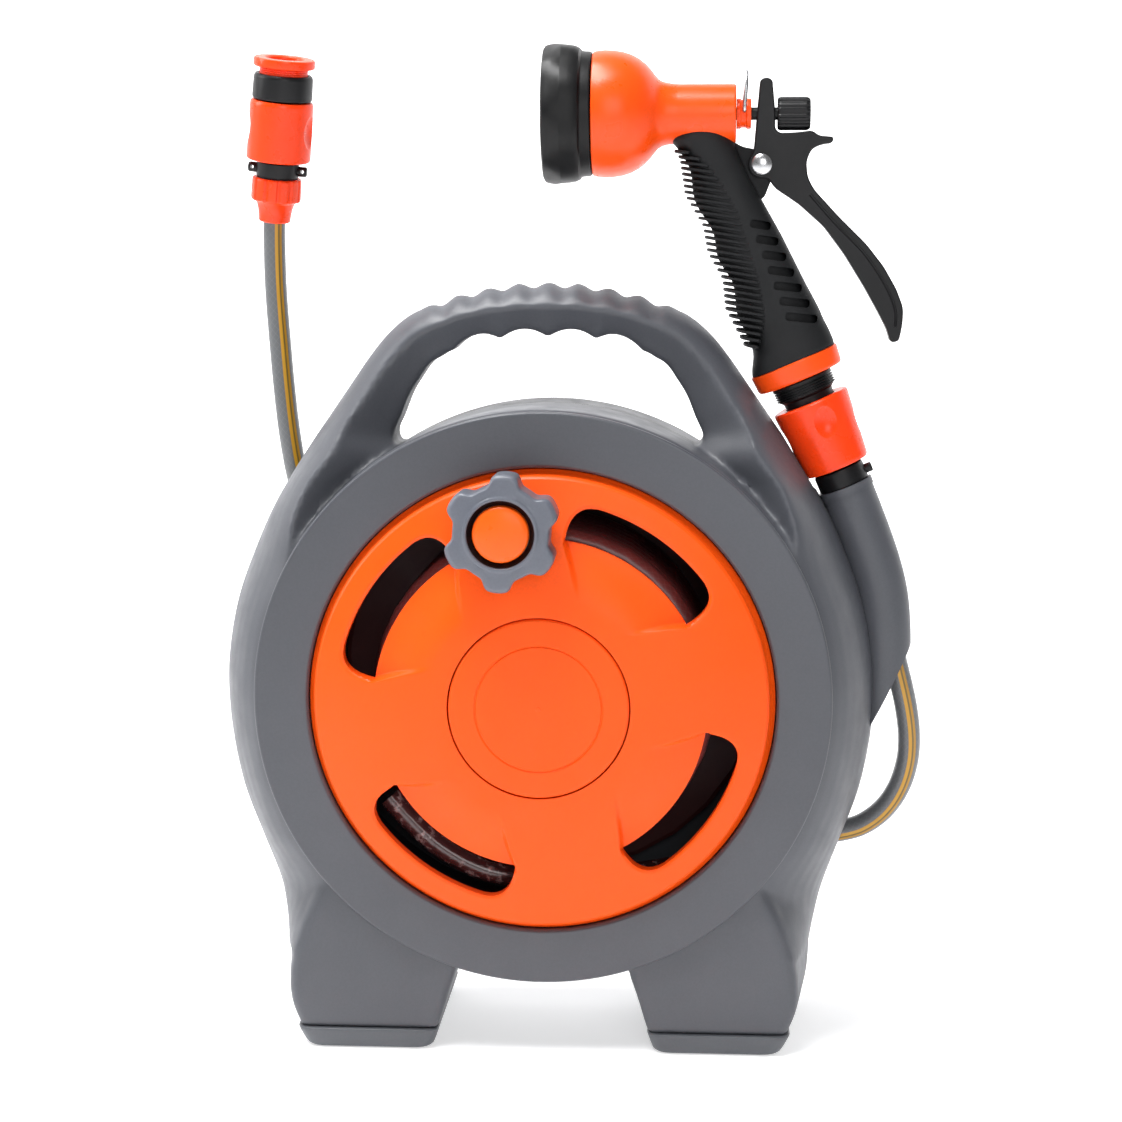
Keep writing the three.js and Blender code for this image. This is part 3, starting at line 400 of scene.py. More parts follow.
def hose_skin(name, rgb, stripes=True, **more):
    """Grey vinyl hose: a slightly clear wall over a diagonal yarn mesh, with lengthwise stripes."""
    nodes = Nodes(name)
    uv = nodes.add("ShaderNodeUVMap", uv_map="along").outputs["UV"]
    split = nodes.add("ShaderNodeSeparateXYZ")
    nodes.link(uv, split.inputs["Vector"])
    around, along = split.outputs["X"], split.outputs["Y"]
    colour = linear(rgb)
    base = nodes.ramp(nodes.noise(25, 3), [
        (0.3, [c * 0.92 for c in colour]), (0.7, [c * 1.06 for c in colour])])
    yarn = None
    for lean in (1, -1):
        turn = nodes.maths("ADD", nodes.maths("MULTIPLY", around, YARNS_ROUND),
                           nodes.maths("MULTIPLY", along, lean * YARNS_ALONG))
        line = nodes.maths("ABSOLUTE", nodes.maths("SINE", nodes.maths("MULTIPLY", turn, math.pi)))
        yarn = line if yarn is None else nodes.maths("MINIMUM", yarn, line)
    mesh = nodes.ramp(yarn, [(0.0, 1.0), (0.16, 0.0)])
    base = nodes.mix(nodes.maths("MULTIPLY", mesh, 0.16), base, linear((168, 170, 172)))
    if stripes:
        for centre, width, tint in STRIPES:
            wrapped = nodes.maths("ABSOLUTE", nodes.maths("SUBTRACT", nodes.maths("FRACT", nodes.maths(
                "SUBTRACT", around, centre - 0.5)), 0.5))
            inside = nodes.ramp(wrapped, [(width * 0.8, 1.0), (width, 0.0)])
            base = nodes.mix(inside, base, linear(tint))
    nodes.set(Base_Color=base, Roughness=nodes.ramp(nodes.noise(80, 3), [(0.3, 0.3), (0.7, 0.42)]))
    nodes.bump(mesh, 0.25, 0.00008)
    nodes.bump(nodes.noise(350, 2), 0.15, 0.0001)
    nodes.set(Coat_Weight=0.25, Coat_Roughness=0.15, **more)
    return nodes.material


def wrapped_skin_painted_glints(name, rgb):
    """Hose that is still in its clear wrap: dark maroon, which is painted shade and painted reflected orange
    light, with light streaks along the crumpled wrap, which are painted glints.
    """
    nodes = Nodes(name)
    colour = linear(rgb)
    crease_and_glint_mask = nodes.noise(150, 5, 0.65)
    # Painted glints: the colour turns light along the crumples of the wrap.
    painted_glints_on_wrap = nodes.ramp(crease_and_glint_mask, [(0.56, [c * 0.8 for c in colour]), (0.66, linear((168, 140, 138)))])
    nodes.set(Base_Color=painted_glints_on_wrap, Roughness=nodes.ramp(nodes.noise(90, 3), [(0.3, 0.08), (0.7, 0.3)]))
    nodes.bump(crease_and_glint_mask, 0.7, 0.0012)
    nodes.set(Coat_Weight=0.8, Coat_Roughness=0.05)
    return nodes.material


def metal(name, rgb, roughness):
    """Bright plated steel with fine turning marks and a few darker patches."""
    nodes = Nodes(name)
    colour = linear(rgb)
    patches = nodes.noise(120, 4, 0.6)
    nodes.set(Base_Color=nodes.ramp(patches, [(0.3, [c * 0.8 for c in colour]), (0.65, colour)]))
    nodes.set(Metallic=1.0, Roughness=nodes.ramp(patches, [(0.3, roughness + 0.12), (0.7, roughness)]))
    nodes.bump(nodes.noise(1800, 2), 0.1, 0.00003)
    return nodes.material


YARNS_ROUND = 10.0                  # yarns of the hose's mesh, round it
YARNS_ALONG = 260.0                 # and along a metre of it

# Stripes on the hose: place round it, half width (both in turns) and colour.
STRIPES = [(0.065, 0.06, (104, 84, 30)), (0.036, 0.026, (192, 140, 14)), (0.103, 0.02, (172, 124, 14)),
           (0.56, 0.03, (176, 126, 16))]

GREY = (78, 80, 86)
ORANGE = (255, 86, 14)
BLACK = (17, 17, 19)

grey = plastic("casing_plastic", GREY, 0.46)
ring_grey = plastic("ring_plastic", (76, 78, 84), 0.42, grain=0.2)
foot_grey = plastic("foot_plastic", (84, 87, 92), 0.44)
knob_grey = plastic("knob_plastic", (98, 102, 112), 0.4, grain=0.2)
holster_grey = plastic("holster_plastic", GREY, 0.44)
disc_orange = plastic("disc_plastic", ORANGE, 0.4, grain=0.15, mottle=0.03, Specular_IOR_Level=0.22)
button_orange = plastic("button_plastic", (255, 98, 18), 0.3, grain=0.1, mottle=0.03,
                        Specular_IOR_Level=0.3)
gun_orange = plastic("gun_plastic", (255, 80, 10), 0.32, grain=0.1, mottle=0.03, Specular_IOR_Level=0.35)
coupling_orange = plastic("coupling_plastic", (255, 64, 8), 0.3, grain=0.1, mottle=0.04,
                          Specular_IOR_Level=0.35)
black = plastic("black_plastic", BLACK, 0.4, grain=0.2, mottle=0.1, Specular_IOR_Level=0.3)
dial_black = plastic("dial_plastic", (15, 15, 16), 0.42, grain=0.2, mottle=0.1, Specular_IOR_Level=0.25)
grip_black = plastic("grip_rubber", (20, 21, 23), 0.62, grain=0.5, mottle=0.1, Specular_IOR_Level=0.3)
face_grey = plastic("face_plastic", (108, 110, 114), 0.42)
seal_black = plastic("seal_rubber", (18, 18, 19), 0.7, grain=0.4)
bush_white = plastic("bush_plastic", (226, 222, 210), 0.4)
# The spool's maroon colour is painted reflected orange light inside the drum.
spool_painted_bounce = plastic("spool_plastic_painted_bounce", (92, 44, 44), 0.45)
hose_grey = hose_skin("hose_vinyl", (96, 98, 100))
# The wound hose's maroon colour is painted reflected orange light inside the drum, in place of the hose's own
# grey.
wound_hose_painted_bounce = hose_skin("wound_hose_vinyl_painted_bounce", (128, 62, 60), stripes=False)
# The lead hose's dark maroon is painted shade and painted reflected orange light inside the drum.
film_hose_painted_shade = wrapped_skin_painted_glints("wrapped_hose_painted_shade_vinyl", (82, 46, 46))
steel = metal("plated_steel", (205, 206, 208), 0.22)


# ---------- camera ----------
CAMERA_AT = (82.3, -1191.6, 397.8)
CAMERA_LOOKS = (-0.0639, 0.9882, -0.1392)
CAMERA_LENS = 78.5


def camera():
    forward = Vector(CAMERA_LOOKS).normalized()
    right = forward.cross(Vector((0, 0, 1))).normalized()
    up = right.cross(forward)
    data = bpy.data.cameras.new("camera")
    data.sensor_width = 36
    data.lens = CAMERA_LENS
    data.clip_end = 20
    obj = linked("camera", data)
    turn = Matrix((right, up, -forward)).transposed().to_4x4()
    obj.matrix_world = Matrix.Translation(place(CAMERA_AT)) @ turn
    bpy.context.scene.camera = obj


camera()

# ---------- hoses ----------
HOSE_R = 5.5
TAP_BASE = Vector((-140.6, 33, 395.8))
TAP_AXIS = Vector((0.107, -0.155, 0.982)).normalized()

LEAD = [
    (-74, -50, 122), (-52, -50, 99.5), (-26, -49, 85.5), (0, -45, 82), (28, -36, 80.5),
    (56, -24, 81), (84, -10, 84.5), (104, 0.5, 88.2), (116, 5.2, 90.2), (126, 7.2, 91.4)]
SPRAY = [
    (127.2, 7.4, 91.5), (141, 9, 93.2), (154, 8.5, 96.6), (165.5, 6.5, 105.5), (173.5, 4, 119),
    (177.2, 1, 136), (176.2, -2, 154), (172.4, -4.5, 172), (167.8, -5.8, 190), (164.9, -6, 206),
    (160.5, -6, 222), (154.5, -6, 239.5), (150.2, -6, 250.5)]
TAIL = [
    (-19, 56, 172), (-34, 56, 172), (-52, 56, 173.2), (-80, 54.5, 182.5), (-104, 52, 201),
    (-120, 48, 226), (-129, 43, 252), (-134, 39, 278), (-137, 37, 305), (-139.3, 36.5, 335),
    (-141, 35.8, 365), tuple(TAP_BASE), tuple(TAP_BASE + TAP_AXIS * 9)]

WOUND_LAYERS = (54.5, 65.5, 76.5)   # radii of the layers of wound hose
WOUND_TURNS = 7
WOUND_FRONT = -52.0
WOUND_PITCH = 11.15
TURN_STEPS = 36


def winding_points():
    """The wound hose: three layers of turns, laid there and back along the core."""
    points = []
    for layer, radius in enumerate(WOUND_LAYERS):
        steps = WOUND_TURNS * TURN_STEPS
        for i in range(steps + 1):
            t = i / TURN_STEPS
            reach = t if layer % 2 == 0 else WOUND_TURNS - t
            rise = (WOUND_LAYERS[1] - WOUND_LAYERS[0]) * smooth_step(WOUND_TURNS - 0.45, WOUND_TURNS, t)
            r = radius + (rise if layer < 2 else 0)
            angle = 2 * math.pi * (t + layer * WOUND_TURNS)
            x, z = r * math.cos(angle), AXIS_Z + r * math.sin(angle)
            if layer and i == 0:
                continue
            points.append(Vector((x, WOUND_FRONT + WOUND_PITCH * reach, z)))
    return points


def hose(name, path, body, node, material, sides=32):
    piece = tube(name, path, HOSE_R, sides, start=Vector((0, -1, 0)))
    show(piece, body, material, "hose_vinyl", node)
    return piece


lead_path = smooth_route(LEAD, 8)
spray_path = smooth_route(SPRAY, 8)
tail_path = smooth_route(TAIL, 8)
wound_path = winding_points()
hose("wound_hose", wound_path, "drum", "hose_winding", wound_hose_painted_bounce,
     sides=16)
hose("hose_to_port", lead_path, "casing", "hose_lead", film_hose_painted_shade)
hose("hose_to_gun", spray_path, "casing", "spray_hose", hose_grey)
hose("hose_tail", tail_path, "casing", "tail_hose", hose_grey)


# ---------- casing ----------
PART_Y = -8.0                       # parting plane of the two shells
DRUM_R = 137.0
CAVITY_R = 130.0
FRONT_Y = -61.0
BACK_Y = 42.0
RING_IN = 110.5
RING_OUT = 136.5
GUN_Y = -6.0
GUN_TILT = math.radians(23)
GUN_FOOT = Vector((117.7, GUN_Y, 329.7))
GUN_DOWN = Vector((math.sin(GUN_TILT), 0, -math.cos(GUN_TILT)))
HANDLE_HALF = 54                    # half the length of the straight part of the handle
HANDLE_BUMP = 14.7                  # spacing of the bumps on top of the handle
BUMP_DEPTH = 3.2
FINGER = 23.0                       # spacing of the finger hollows under it
FINGER_DEPTH = 4.2
VOXEL = 1.5
FAR = 400                           # reach of a block that holds half of the casing


def on_drum(angle, radius=131.0):
    return polar(radius, angle)


# Each station of the rim: outside edge, inside edge, the ridge's place between them, the depth of
# the front ridge and of the front at the inside edge, and the same two at the back.
SHOULDER = [
    ((54, 357.6), (48.6, 332.3), 0.42, -26, -18, 12, 4),
    ((67, 351.5), (56.5, 328.5), 0.42, -26, -18, 12, 4),
    ((78, 342.5), (62, 321), 0.42, -27, -18, 13, 4),
    ((87, 331.5), (67, 313), 0.40, -29, -19, 15, 5),
    ((95, 320), (71, 303), 0.38, -33, -20, 18, 6),
    ((107, 302.5), (75, 293), 0.36, -40, -22, 22, 8),
    ((116, 289.5), on_drum(57), 0.34, -47, -25, 26, 12),
    ((126.5, 273), on_drum(48), 0.38, -53, -32, 29, 18),
    ((136, 256.5), on_drum(38), 0.55, -57.5, -45, 31, 26),
    ((145, 236.5), on_drum(28), 0.84, -60, -58, 33, 31),
]
# Further down the depths stay the same.
SHOULDER += [(*station, -60, -60, 34, 34) for station in (
    ((153, 215), on_drum(18), 0.86), ((157.8, 193), on_drum(9), 0.87), ((159.5, 172), on_drum(0), 0.87),
    ((157.8, 146), on_drum(-10), 0.87), ((152.5, 119), on_drum(-20), 0.86),
    ((143.5, 94), on_drum(-31), 0.84), ((135.6, 72), on_drum(-43), 0.84),
    ((132, 58), (93, 69), 0.5), ((129.4, 45), (90, 53), 0.24))]
FACET_STEPS = 7
FACET_ROUND = 0.6


def handle_station(x):
    crest = 367 - 9.4 * (x / HANDLE_HALF) ** 2
    inside = 0.9 * x
    return ((x, crest), (inside, 340.5 - 10 * (inside / 52) ** 3), 0.42, -26, -18, 12, 4)


def blended(a, b, c, d, t):
    """Catmull-Rom between stations b and c."""
    def between(p, q, r, s):
        if isinstance(p, tuple):
            return tuple(between(*four) for four in zip(p, q, r, s))
        return 0.5 * (2 * q + (r - p) * t + (2 * p - 5 * q + 4 * r - s) * t ** 2
                      + (3 * q - p - 3 * r + s) * t ** 3)
    return tuple(between(*four) for four in zip(a, b, c, d))


def rim_stations():
    steps = 44
    stations = [handle_station(HANDLE_HALF * i / steps) for i in range(steps)]
    guide = [handle_station(41), *SHOULDER, SHOULDER[-1]]
    for i in range(1, len(guide) - 2):
        stations += [blended(*guide[i - 1:i + 3], step / 5) for step in range(5)]
    return stations + [SHOULDER[-1]]


def rim_section(station, side):
    out, inner, ridge, front_ridge, front_inner, back_ridge, back_inner = station
    wave = abs(math.cos(math.pi * out[0] / HANDLE_BUMP))
    fade = 1 - smooth_step(58, 66, out[0])
    bump = BUMP_DEPTH * (1 - 0.6 * wave - 0.4 * wave ** 2) * fade
    hollow = FINGER_DEPTH * abs(math.sin(math.pi * inner[0] / FINGER)) ** 0.8
    hollow *= 1 - smooth_step(46, 52, inner[0])

    def at(u, y, lift=0.0):
        x = out[0] + (inner[0] - out[0]) * u
        z = out[1] + (inner[1] - out[1]) * u
        return Vector((side * x, y, z + lift))

    def facet(depth, t):
        angle = t * math.pi / 2
        u = ridge * (t * (1 - FACET_ROUND) + FACET_ROUND * (1 - math.cos(angle)))
        y = PART_Y + (depth - PART_Y) * (t * (1 - FACET_ROUND) + FACET_ROUND * math.sin(angle))
        return at(u, y, -bump * (1 - t) ** 0.7)

    steps = [i / FACET_STEPS for i in range(1, FACET_STEPS)]
    front = [facet(front_ridge, t) for t in steps]
    back = [facet(back_ridge, t) for t in reversed(steps)]
    middle = (1 + ridge) / 2
    return [
        at(0, PART_Y, -bump), *front, at(ridge, front_ridge),
        at(middle, (front_ridge + front_inner) / 2 + 0.6, hollow * 0.3), at(1, front_inner, hollow),
        at(1, back_inner, hollow), at(middle, (back_ridge + back_inner) / 2 - 0.6, hollow * 0.3),
        at(ridge, back_ridge), *back]


def rim():
    stations = rim_stations()
    left = [rim_section(s, -1) for s in reversed(stations[1:])]
    right = [rim_section(s, 1) for s in stations]
    return loft("rim", left + right)


def rounded_ring(x0, x1, y0, y1, z, radius, side=1, steps=6):
    corners = [(x1, y1), (x0, y1), (x0, y0), (x1, y0)]
    return [Vector((side * x, y, z)) for x, y in rounded([(*c, radius) for c in corners], radius, steps)]


def leg(side):
    """A leg. Its outer edge has a chamfer that grows upwards, into the rim's."""
    levels = [
        (50.6, 119.6, 2.2, -60.8, 37, 10), (49.8, 120.8, 2.6, -61.2, 37, 12.5), (48.4, 124, 4, -61.4, 38, 17),
        (47, 127, 5.6, -61.5, 38, 22), (44.8, 129, 7, -61.6, 38, 29), (42, 129.6, 8, -61.6, 38, 37),
        (40, 129.8, 10, -61.2, 38, 48), (40, 131, 15, -60.8, 38, 60), (44, 132, 22, -60.4, 38, 72),
        (50, 132, 28, -60.2, 38, 84), (58, 131, 32, -60, 37, 100), (70, 128, 36, -59.6, 36, 118)]
    rings = []
    for x0, x1, chamfer, y0, y1, z in levels:
        corners = [(x1, y1, 9), (x0, y1, 9), (x0, y0, 6), (x1 - chamfer, y0, 6), (x1, PART_Y, 20)]
        rings.append([Vector((side * x, y, z)) for x, y in rounded(corners, 8, 6)])
    return loft("leg", rings)


def shoulder_tool():
    """Room for the parked gun's connector in the right shoulder."""
    profile = [(0, -2), (22.8, -2), (22.2, 9), (19.6, 12), (19.4, 22), (16.6, 60), (14, 62),
               (14, 72), (0, 72)]
    return lathe("connector_room", profile, GUN_FOOT, GUN_DOWN, 48)


PORT = Vector((141, 9, 93.2))
PORT_AXIS = Vector((0.99, 0.09, 0.1)).normalized()
SCREWS = [(side * x, z) for side in (-1, 1) for x, z in ((147, 165), (93, 305), (104, 52))]
SCREW_RECESS = disc_profile(4.4, 18, 60)


def casing():
    drum = turned("drum_housing", rounded([
        (0, FRONT_Y + 1, 0), (DRUM_R - 1.2, FRONT_Y + 1, 1.5), (DRUM_R, FRONT_Y + 4, 1),
        (DRUM_R, BACK_Y - 14, 8), (DRUM_R - 4, BACK_Y - 5, 6), (DRUM_R - 13, BACK_Y - 0.6, 4),
        (0, BACK_Y - 0.6, 0)], 2), 160)
    shell = merged("casing", drum, rim(), leg(-1), leg(1))
    modify(shell, "REMESH", mode="VOXEL", voxel_size=VOXEL * MM)
    modify(shell, "SMOOTH", factor=0.5, iterations=6)
    cut(shell,
        turned("cavity", [(0, FRONT_Y + 3), (CAVITY_R, FRONT_Y + 3), (CAVITY_R, BACK_Y - 14),
                          (CAVITY_R - 8, BACK_Y - 3.4), (0, BACK_Y - 3.4)]),
        turned("mouth", disc_profile(RING_IN + 1, FRONT_Y - 9, FRONT_Y + 4)),
        turned("ring_seat", disc_profile(RING_OUT + 0.7, FRONT_Y - 9, FRONT_Y + 0.2)),
        shoulder_tool(),
        lathe("port", disc_profile(9, -10, 14), PORT, PORT_AXIS, 48),
        tube("lead_channel", smooth_route(LEAD[5:] + SPRAY[1:2], 4), HOSE_R + 1.5, 24),
        turned("axle_hole", disc_profile(12.4, BACK_Y - 11, BACK_Y + 8), 48))
    for x, z in SCREWS:
        cut(shell, turned("screw_hole", SCREW_RECESS, 32, x, z))
    front = linked("front_shell", shell.data.copy())
    shell.name = "rear_shell"
    cut(front, block("half", -FAR, FAR, -FAR, PART_Y - 0.15, -FAR, 2 * FAR), operation="INTERSECT")
    cut(shell, block("half", -FAR, FAR, PART_Y + 0.15, FAR, -FAR, 2 * FAR), operation="INTERSECT")
    lip = [(CAVITY_R - 0.4, PART_Y - 4), (CAVITY_R + 1.2, PART_Y - 4), (CAVITY_R + 1.2, PART_Y + 4),
           (CAVITY_R - 0.4, PART_Y + 4)]
    cut(front, turned("lip_seat", [(CAVITY_R - 2, PART_Y - 4.3), (CAVITY_R + 1.5, PART_Y - 4.3),
                                   (CAVITY_R + 1.5, PART_Y + 4), (CAVITY_R - 2, PART_Y + 4)], 160))
    cut(shell, turned("lip", lip, 160), operation="UNION")
    for half, node in ((front, "front_casing"), (shell, "rear_casing")):
        show(half, "casing", grey, "casing_grey", node, angle=40)


def bezel():
    ring = turned("front_ring", rounded([
        (RING_IN, FRONT_Y + 1.8, 0.6), (RING_IN, RING_FRONT + 1.3, 0.5), (RING_IN + 1.2, RING_FRONT, 0.7),
        (RING_OUT, RING_FRONT, 1.5), (RING_OUT, FRONT_Y - 0.4, 0.5), (RING_OUT - 3, FRONT_Y - 0.4, 0.3),
        (RING_OUT - 3, FRONT_Y - 0.1, 0), (RING_IN + 3, FRONT_Y - 0.1, 0.3),
        (RING_IN + 3, FRONT_Y + 1.8, 0.5)], 1), 256)
    show(ring, "casing", ring_grey, "ring_grey", "bezel_ring")


def foot_caps():
    for name, side in (("left", -1), ("right", 1)):
        levels = [
            (55.5, 112, -58.5, 34, 0, 8), (54, 113.6, -60.4, 36, 0.5, 9), (53, 114.8, -61.4, 37, 1.5, 9),
            (52, 116.4, -62.2, 37.8, 4, 9.5), (50.8, 118.2, -62.9, 38.6, 7.6, 9.5),
            (50.3, 118.9, -63, 38.8, 9.2, 9.5), (50.5, 118.7, -62.8, 38.6, 9.8, 9.5),
            (51.1, 118.1, -62.2, 38, 10.1, 9), (55, 113, -58, 34, 10.1, 8)]
        cap = loft(f"foot_{name}", [rounded_ring(*level, side, 8) for level in levels])
        show(cap, "casing", foot_grey, "foot_grey", f"foot_cap_{name}", angle=50)


casing()
bezel()
foot_caps()


# ---------- disc and knob ----------
DISC_R = 107.2
DISC_EDGE_Y = -68.5                 # front of the disc at its edge
DOME = 13.4                         # how far the centre stands in front of the edge
HUB_R = 42.2
BUSH_R = 15.0
CORE_WALL = 50.0                    # radius of the seat of the spool's core behind the disc
SLOT_IN, SLOT_OUT = 78.3, 96.0
SLOT_HALF = 26.0
SLOT_CORNER = 8.0
SLOTS = [55.5 + 90 * i for i in range(4)]
SCOOP_START = 52.0
SCOOP_DEPTH = 6.2
SCOOP_HALF = 13.0                   # half angle of a scoop where it starts
LIP = 1.7                           # width of the raised lip round a slot
LIP_DEPTH = 1.1
DISC_STEPS = 900
KNOB_X, KNOB_Z = polar(85.5, 100.5)
KNOB_FRONT = -104.0
KNOB_BACK = -80.0
FLANGE_SCREWS = [polar(30, 10.5 + 90 * i) for i in range(4)]


def slot_outline(middle, steps=24):
    inner = [middle - SLOT_HALF + 2 * SLOT_HALF * i / steps for i in range(steps + 1)]
    points = [polar(SLOT_IN, a) for a in inner]
    for side in (1, -1):
        start = Vector(polar(SLOT_IN, middle + side * SLOT_HALF))
        corner = Vector(polar(SLOT_OUT, middle + side * SLOT_HALF))
        end = Vector(polar(SLOT_OUT, middle + side * (SLOT_HALF - SLOT_CORNER)))
        curve = [bend(start, corner, end, i / 8) for i in range(1, 9)]
        if side == -1:
            curve.reverse()
        points += [tuple(p) for p in curve]
        if side == 1:
            reach = SLOT_HALF - SLOT_CORNER
            points += [polar(SLOT_OUT, middle + reach - 2 * reach * i / steps) for i in range(1, steps)]
    return points


SLOT_ZERO = [Vector(p) for p in slot_outline(0)]


def gap_to_slot(point):
    """How far a point is from the edge of the slot at angle 0."""
    best = 99.0
    for a, b in zip(SLOT_ZERO, SLOT_ZERO[1:] + SLOT_ZERO[:1]):
        along = b - a
        t = min(max((point - a).dot(along) / max(along.length_squared, 1e-9), 0), 1)
        best = min(best, (point - a - along * t).length)
    return best


def disc_height(radius, offset):
    """The disc's front face at a radius and an angle from the middle of the nearest slot."""
    y = DISC_EDGE_Y - DOME * (1 - max((radius - HUB_R) / (DISC_R - HUB_R), 0) ** 1.75)
    far = min(max((radius - SCOOP_START) / (SLOT_IN - SCOOP_START), 0), 1)
    half = SCOOP_HALF + (SLOT_HALF - SCOOP_HALF) * far ** 0.8
    edge = 3.6 - 2.7 * far
    side = 1 - smooth_step(half - edge * 0.5, half + edge * 0.5, abs(offset))
    y += SCOOP_DEPTH * smooth_step(0, 1, far * 0.8 + 0.1 * far) * side * (1 - smooth_step(79, 81, radius))
    if SLOT_IN - 1 < radius < SLOT_OUT + LIP and abs(offset) < SLOT_HALF + 2.5:
        near = max(1 - gap_to_slot(Vector(polar(radius, offset))) / LIP, 0)
        shown = smooth_step(SLOT_IN - 1, SLOT_IN + 3, radius)
        y += LIP_DEPTH * near ** 2 * shown
    return y


def front_disc():
    radii = [HUB_R + 0.55 + 0.75 * i for i in range(85)]
    radii = [r for r in radii if r < DISC_R - 1.4] + [DISC_R - 1.3]
    quarter = DISC_STEPS // 4
    sheet = []
    for i in range(quarter):
        offset = 90 * i / quarter
        offset = offset if offset <= 45 else offset - 90
        sheet.append([disc_height(r, offset) for r in radii])
    edge = [(DISC_R - 0.7, 0.2), (DISC_R - 0.25, 0.6), (DISC_R, 1.3)]
    back = [(DISC_R + 0.2, -63.6), (DISC_R + 2.7, -61.6), (DISC_R + 2.8, -57), (DISC_R - 3, -57),
            (DISC_R - 3, -63.5), (84, -67), (76, -69), (56, -72.6), (CORE_WALL, -72),
            (CORE_WALL, -69.2), (23, -69.2), (23, -62), (BUSH_R + 0.3, -62), (BUSH_R + 0.3, -71.5),
            (19, -71.5), (19, -74), (HUB_R + 0.55, -74)]
    rings = []
    for i in range(DISC_STEPS):
        angle = SLOTS[0] + 360 * i / DISC_STEPS
        line = list(zip(radii, sheet[i % quarter]))
        line += [(r, DISC_EDGE_Y + dy) for r, dy in edge] + back
        spots = [(*polar(r, angle), y) for r, y in line]
        rings.append([Vector((x, y, z)) for x, z, y in spots])
    disc = loft("front_disc", rings, closed=True)
    for middle in SLOTS:
        cut(disc, prism("slot", slot_outline(middle), -95, -50))
    boss = turned("knob_boss", disc_profile(9, -79.4, -70), 48, KNOB_X, KNOB_Z)
    cut(disc, boss, operation="UNION")
    cut(disc, turned("pin_hole", disc_profile(5.3, -90, -55), 40, KNOB_X, KNOB_Z))
    for x, z in FLANGE_SCREWS:
        cut(disc, turned("screw_hole", disc_profile(2.4, -90, -55), 24, x, z))
    show(disc, "drum", disc_orange, "disc_orange", "front_disc", angle=50)


def hub():
    cap = turned("hub_cap", [
        (0, -75), (HUB_R - 3, -75), (HUB_R - 3, -74.5), (HUB_R, -74.5), (HUB_R, -80.9),
        (HUB_R - 0.25, -81.6), (HUB_R - 0.9, -82.1), (HUB_R - 2, -82.3), (36, -82.55), (30.7, -82.8),
        (30.2, -82.75), (29.7, -82.35), (29.4, -82.35), (29.0, -82.8), (28.5, -82.95), (20, -83.15),
        (10, -83.3), (1.3, -83.35), (1.0, -83.55), (0, -83.6)], 200)
    show(cap, "drum", disc_orange, "disc_orange", "hub_cap", angle=25)


KNOB_LOBES = 6
KNOB_START = math.radians(94)


def knob_reach(angle, r, y):
    if r < 17:
        return r
    wave = 0.5 + 0.5 * math.tanh(2.2 * math.cos(KNOB_LOBES * (angle - KNOB_START))) / math.tanh(2.2)
    return 17 + (r - 17) * (22.1 + 5.1 * wave - 17) / 9


def from_front(*profile):
    """A stretch of profile whose places are measured from the knob's front."""
    return [(r, KNOB_FRONT + y) for r, y in profile]


def crank_knob():
    knob = turned("crank_knob", [
        (6.3, -80), (15, KNOB_BACK), (22, KNOB_BACK + 0.2), (25, KNOB_BACK - 1), (25.7, KNOB_BACK - 2.6),
        *from_front((26, 4.2), (25.7, 2.6), (24.9, 1.4), (23.6, 0.9), (20, 0.8), (17.8, 0.7), (17.1, 0.1),
                    (16.4, -0.2), (15.7, 0), (15.4, 0.6), (15.4, 6), (6.3, 6))],
        240, KNOB_X, KNOB_Z, knob_reach)
    show(knob, "knob", knob_grey, "knob_grey", "crank_knob", angle=50)
    # A black ring in the groove round the crank pin: painted shade, which makes the groove darker than its
    # depth alone does.
    groove_shade_ring = turned("knob_groove_painted_shade", from_front((13.3, 4.2), (15.3, 1.0), (15.3, 5.9), (13.3, 5.9)),
                  96, KNOB_X, KNOB_Z)
    show(groove_shade_ring, "knob", black, "black_plastic")
    pin = turned("crank_pin", [
        *from_front((0, -1.0), (6, -0.8), (10, -0.3), (12, 0.4), (12.8, 1.3), (13, 2.4), (13, 5.4),
                    (5.9, 5.4)),
        (5.9, KNOB_BACK - 0.3), (4.9, KNOB_BACK - 0.3), (4.9, -64), (0, -64)], 128, KNOB_X, KNOB_Z)
    show(pin, "drum", button_orange, "button_orange", "crank_pin")


front_disc()
hub()
crank_knob()


# ---------- holster ----------
HOLSTER = [(143.9, -6, 268), (150.3, -6, 252), (157, -6, 234), (161.6, -6, 217), (163.4, -6, 200),
           (163.8, -6, 180), (163.8, -6, 150)]


def gun_holster():
    path = smooth_route(HOLSTER, 8)
    body = tube("gun_holster", path, 13, 72)
    rim_path = [path[0] + (path[0] - path[1]).normalized() * s for s in (1.4, -2.0)]
    cut(body, tube("holster_rim", rim_path, 13.5, 72), operation="UNION")
    bore = smooth_route([(140.4, -6, 276.3), *HOLSTER[1:6], (163.8, -6, 140)], 8)
    cut(body, tube("bore", bore, 11.2, 64))
    cut(body, prism("below_mouth", [(140, 118), (176.7, 192.5), (210, 192.5), (210, 118)], -40, 30))
    soften(body, 0.6, 2, 50)
    show(body, "casing", holster_grey, "holster_grey", "gun_holster")


# ---------- connector under the gun ----------
def thread(start, pitch, turns, crest, root, *offsets):
    """Thread ridges for a profile: two offsets along the crest and two along the root."""
    ridge = list(zip((crest, crest, root, root), offsets))
    return [(r, start + pitch * i + d) for i in range(turns) for r, d in ridge]


def along_gun(name, profile, segments=96, **more):
    return lathe(name, profile, GUN_FOOT, GUN_DOWN, segments, **more)


GUN_ACROSS = Vector((math.cos(GUN_TILT), 0, math.sin(GUN_TILT)))


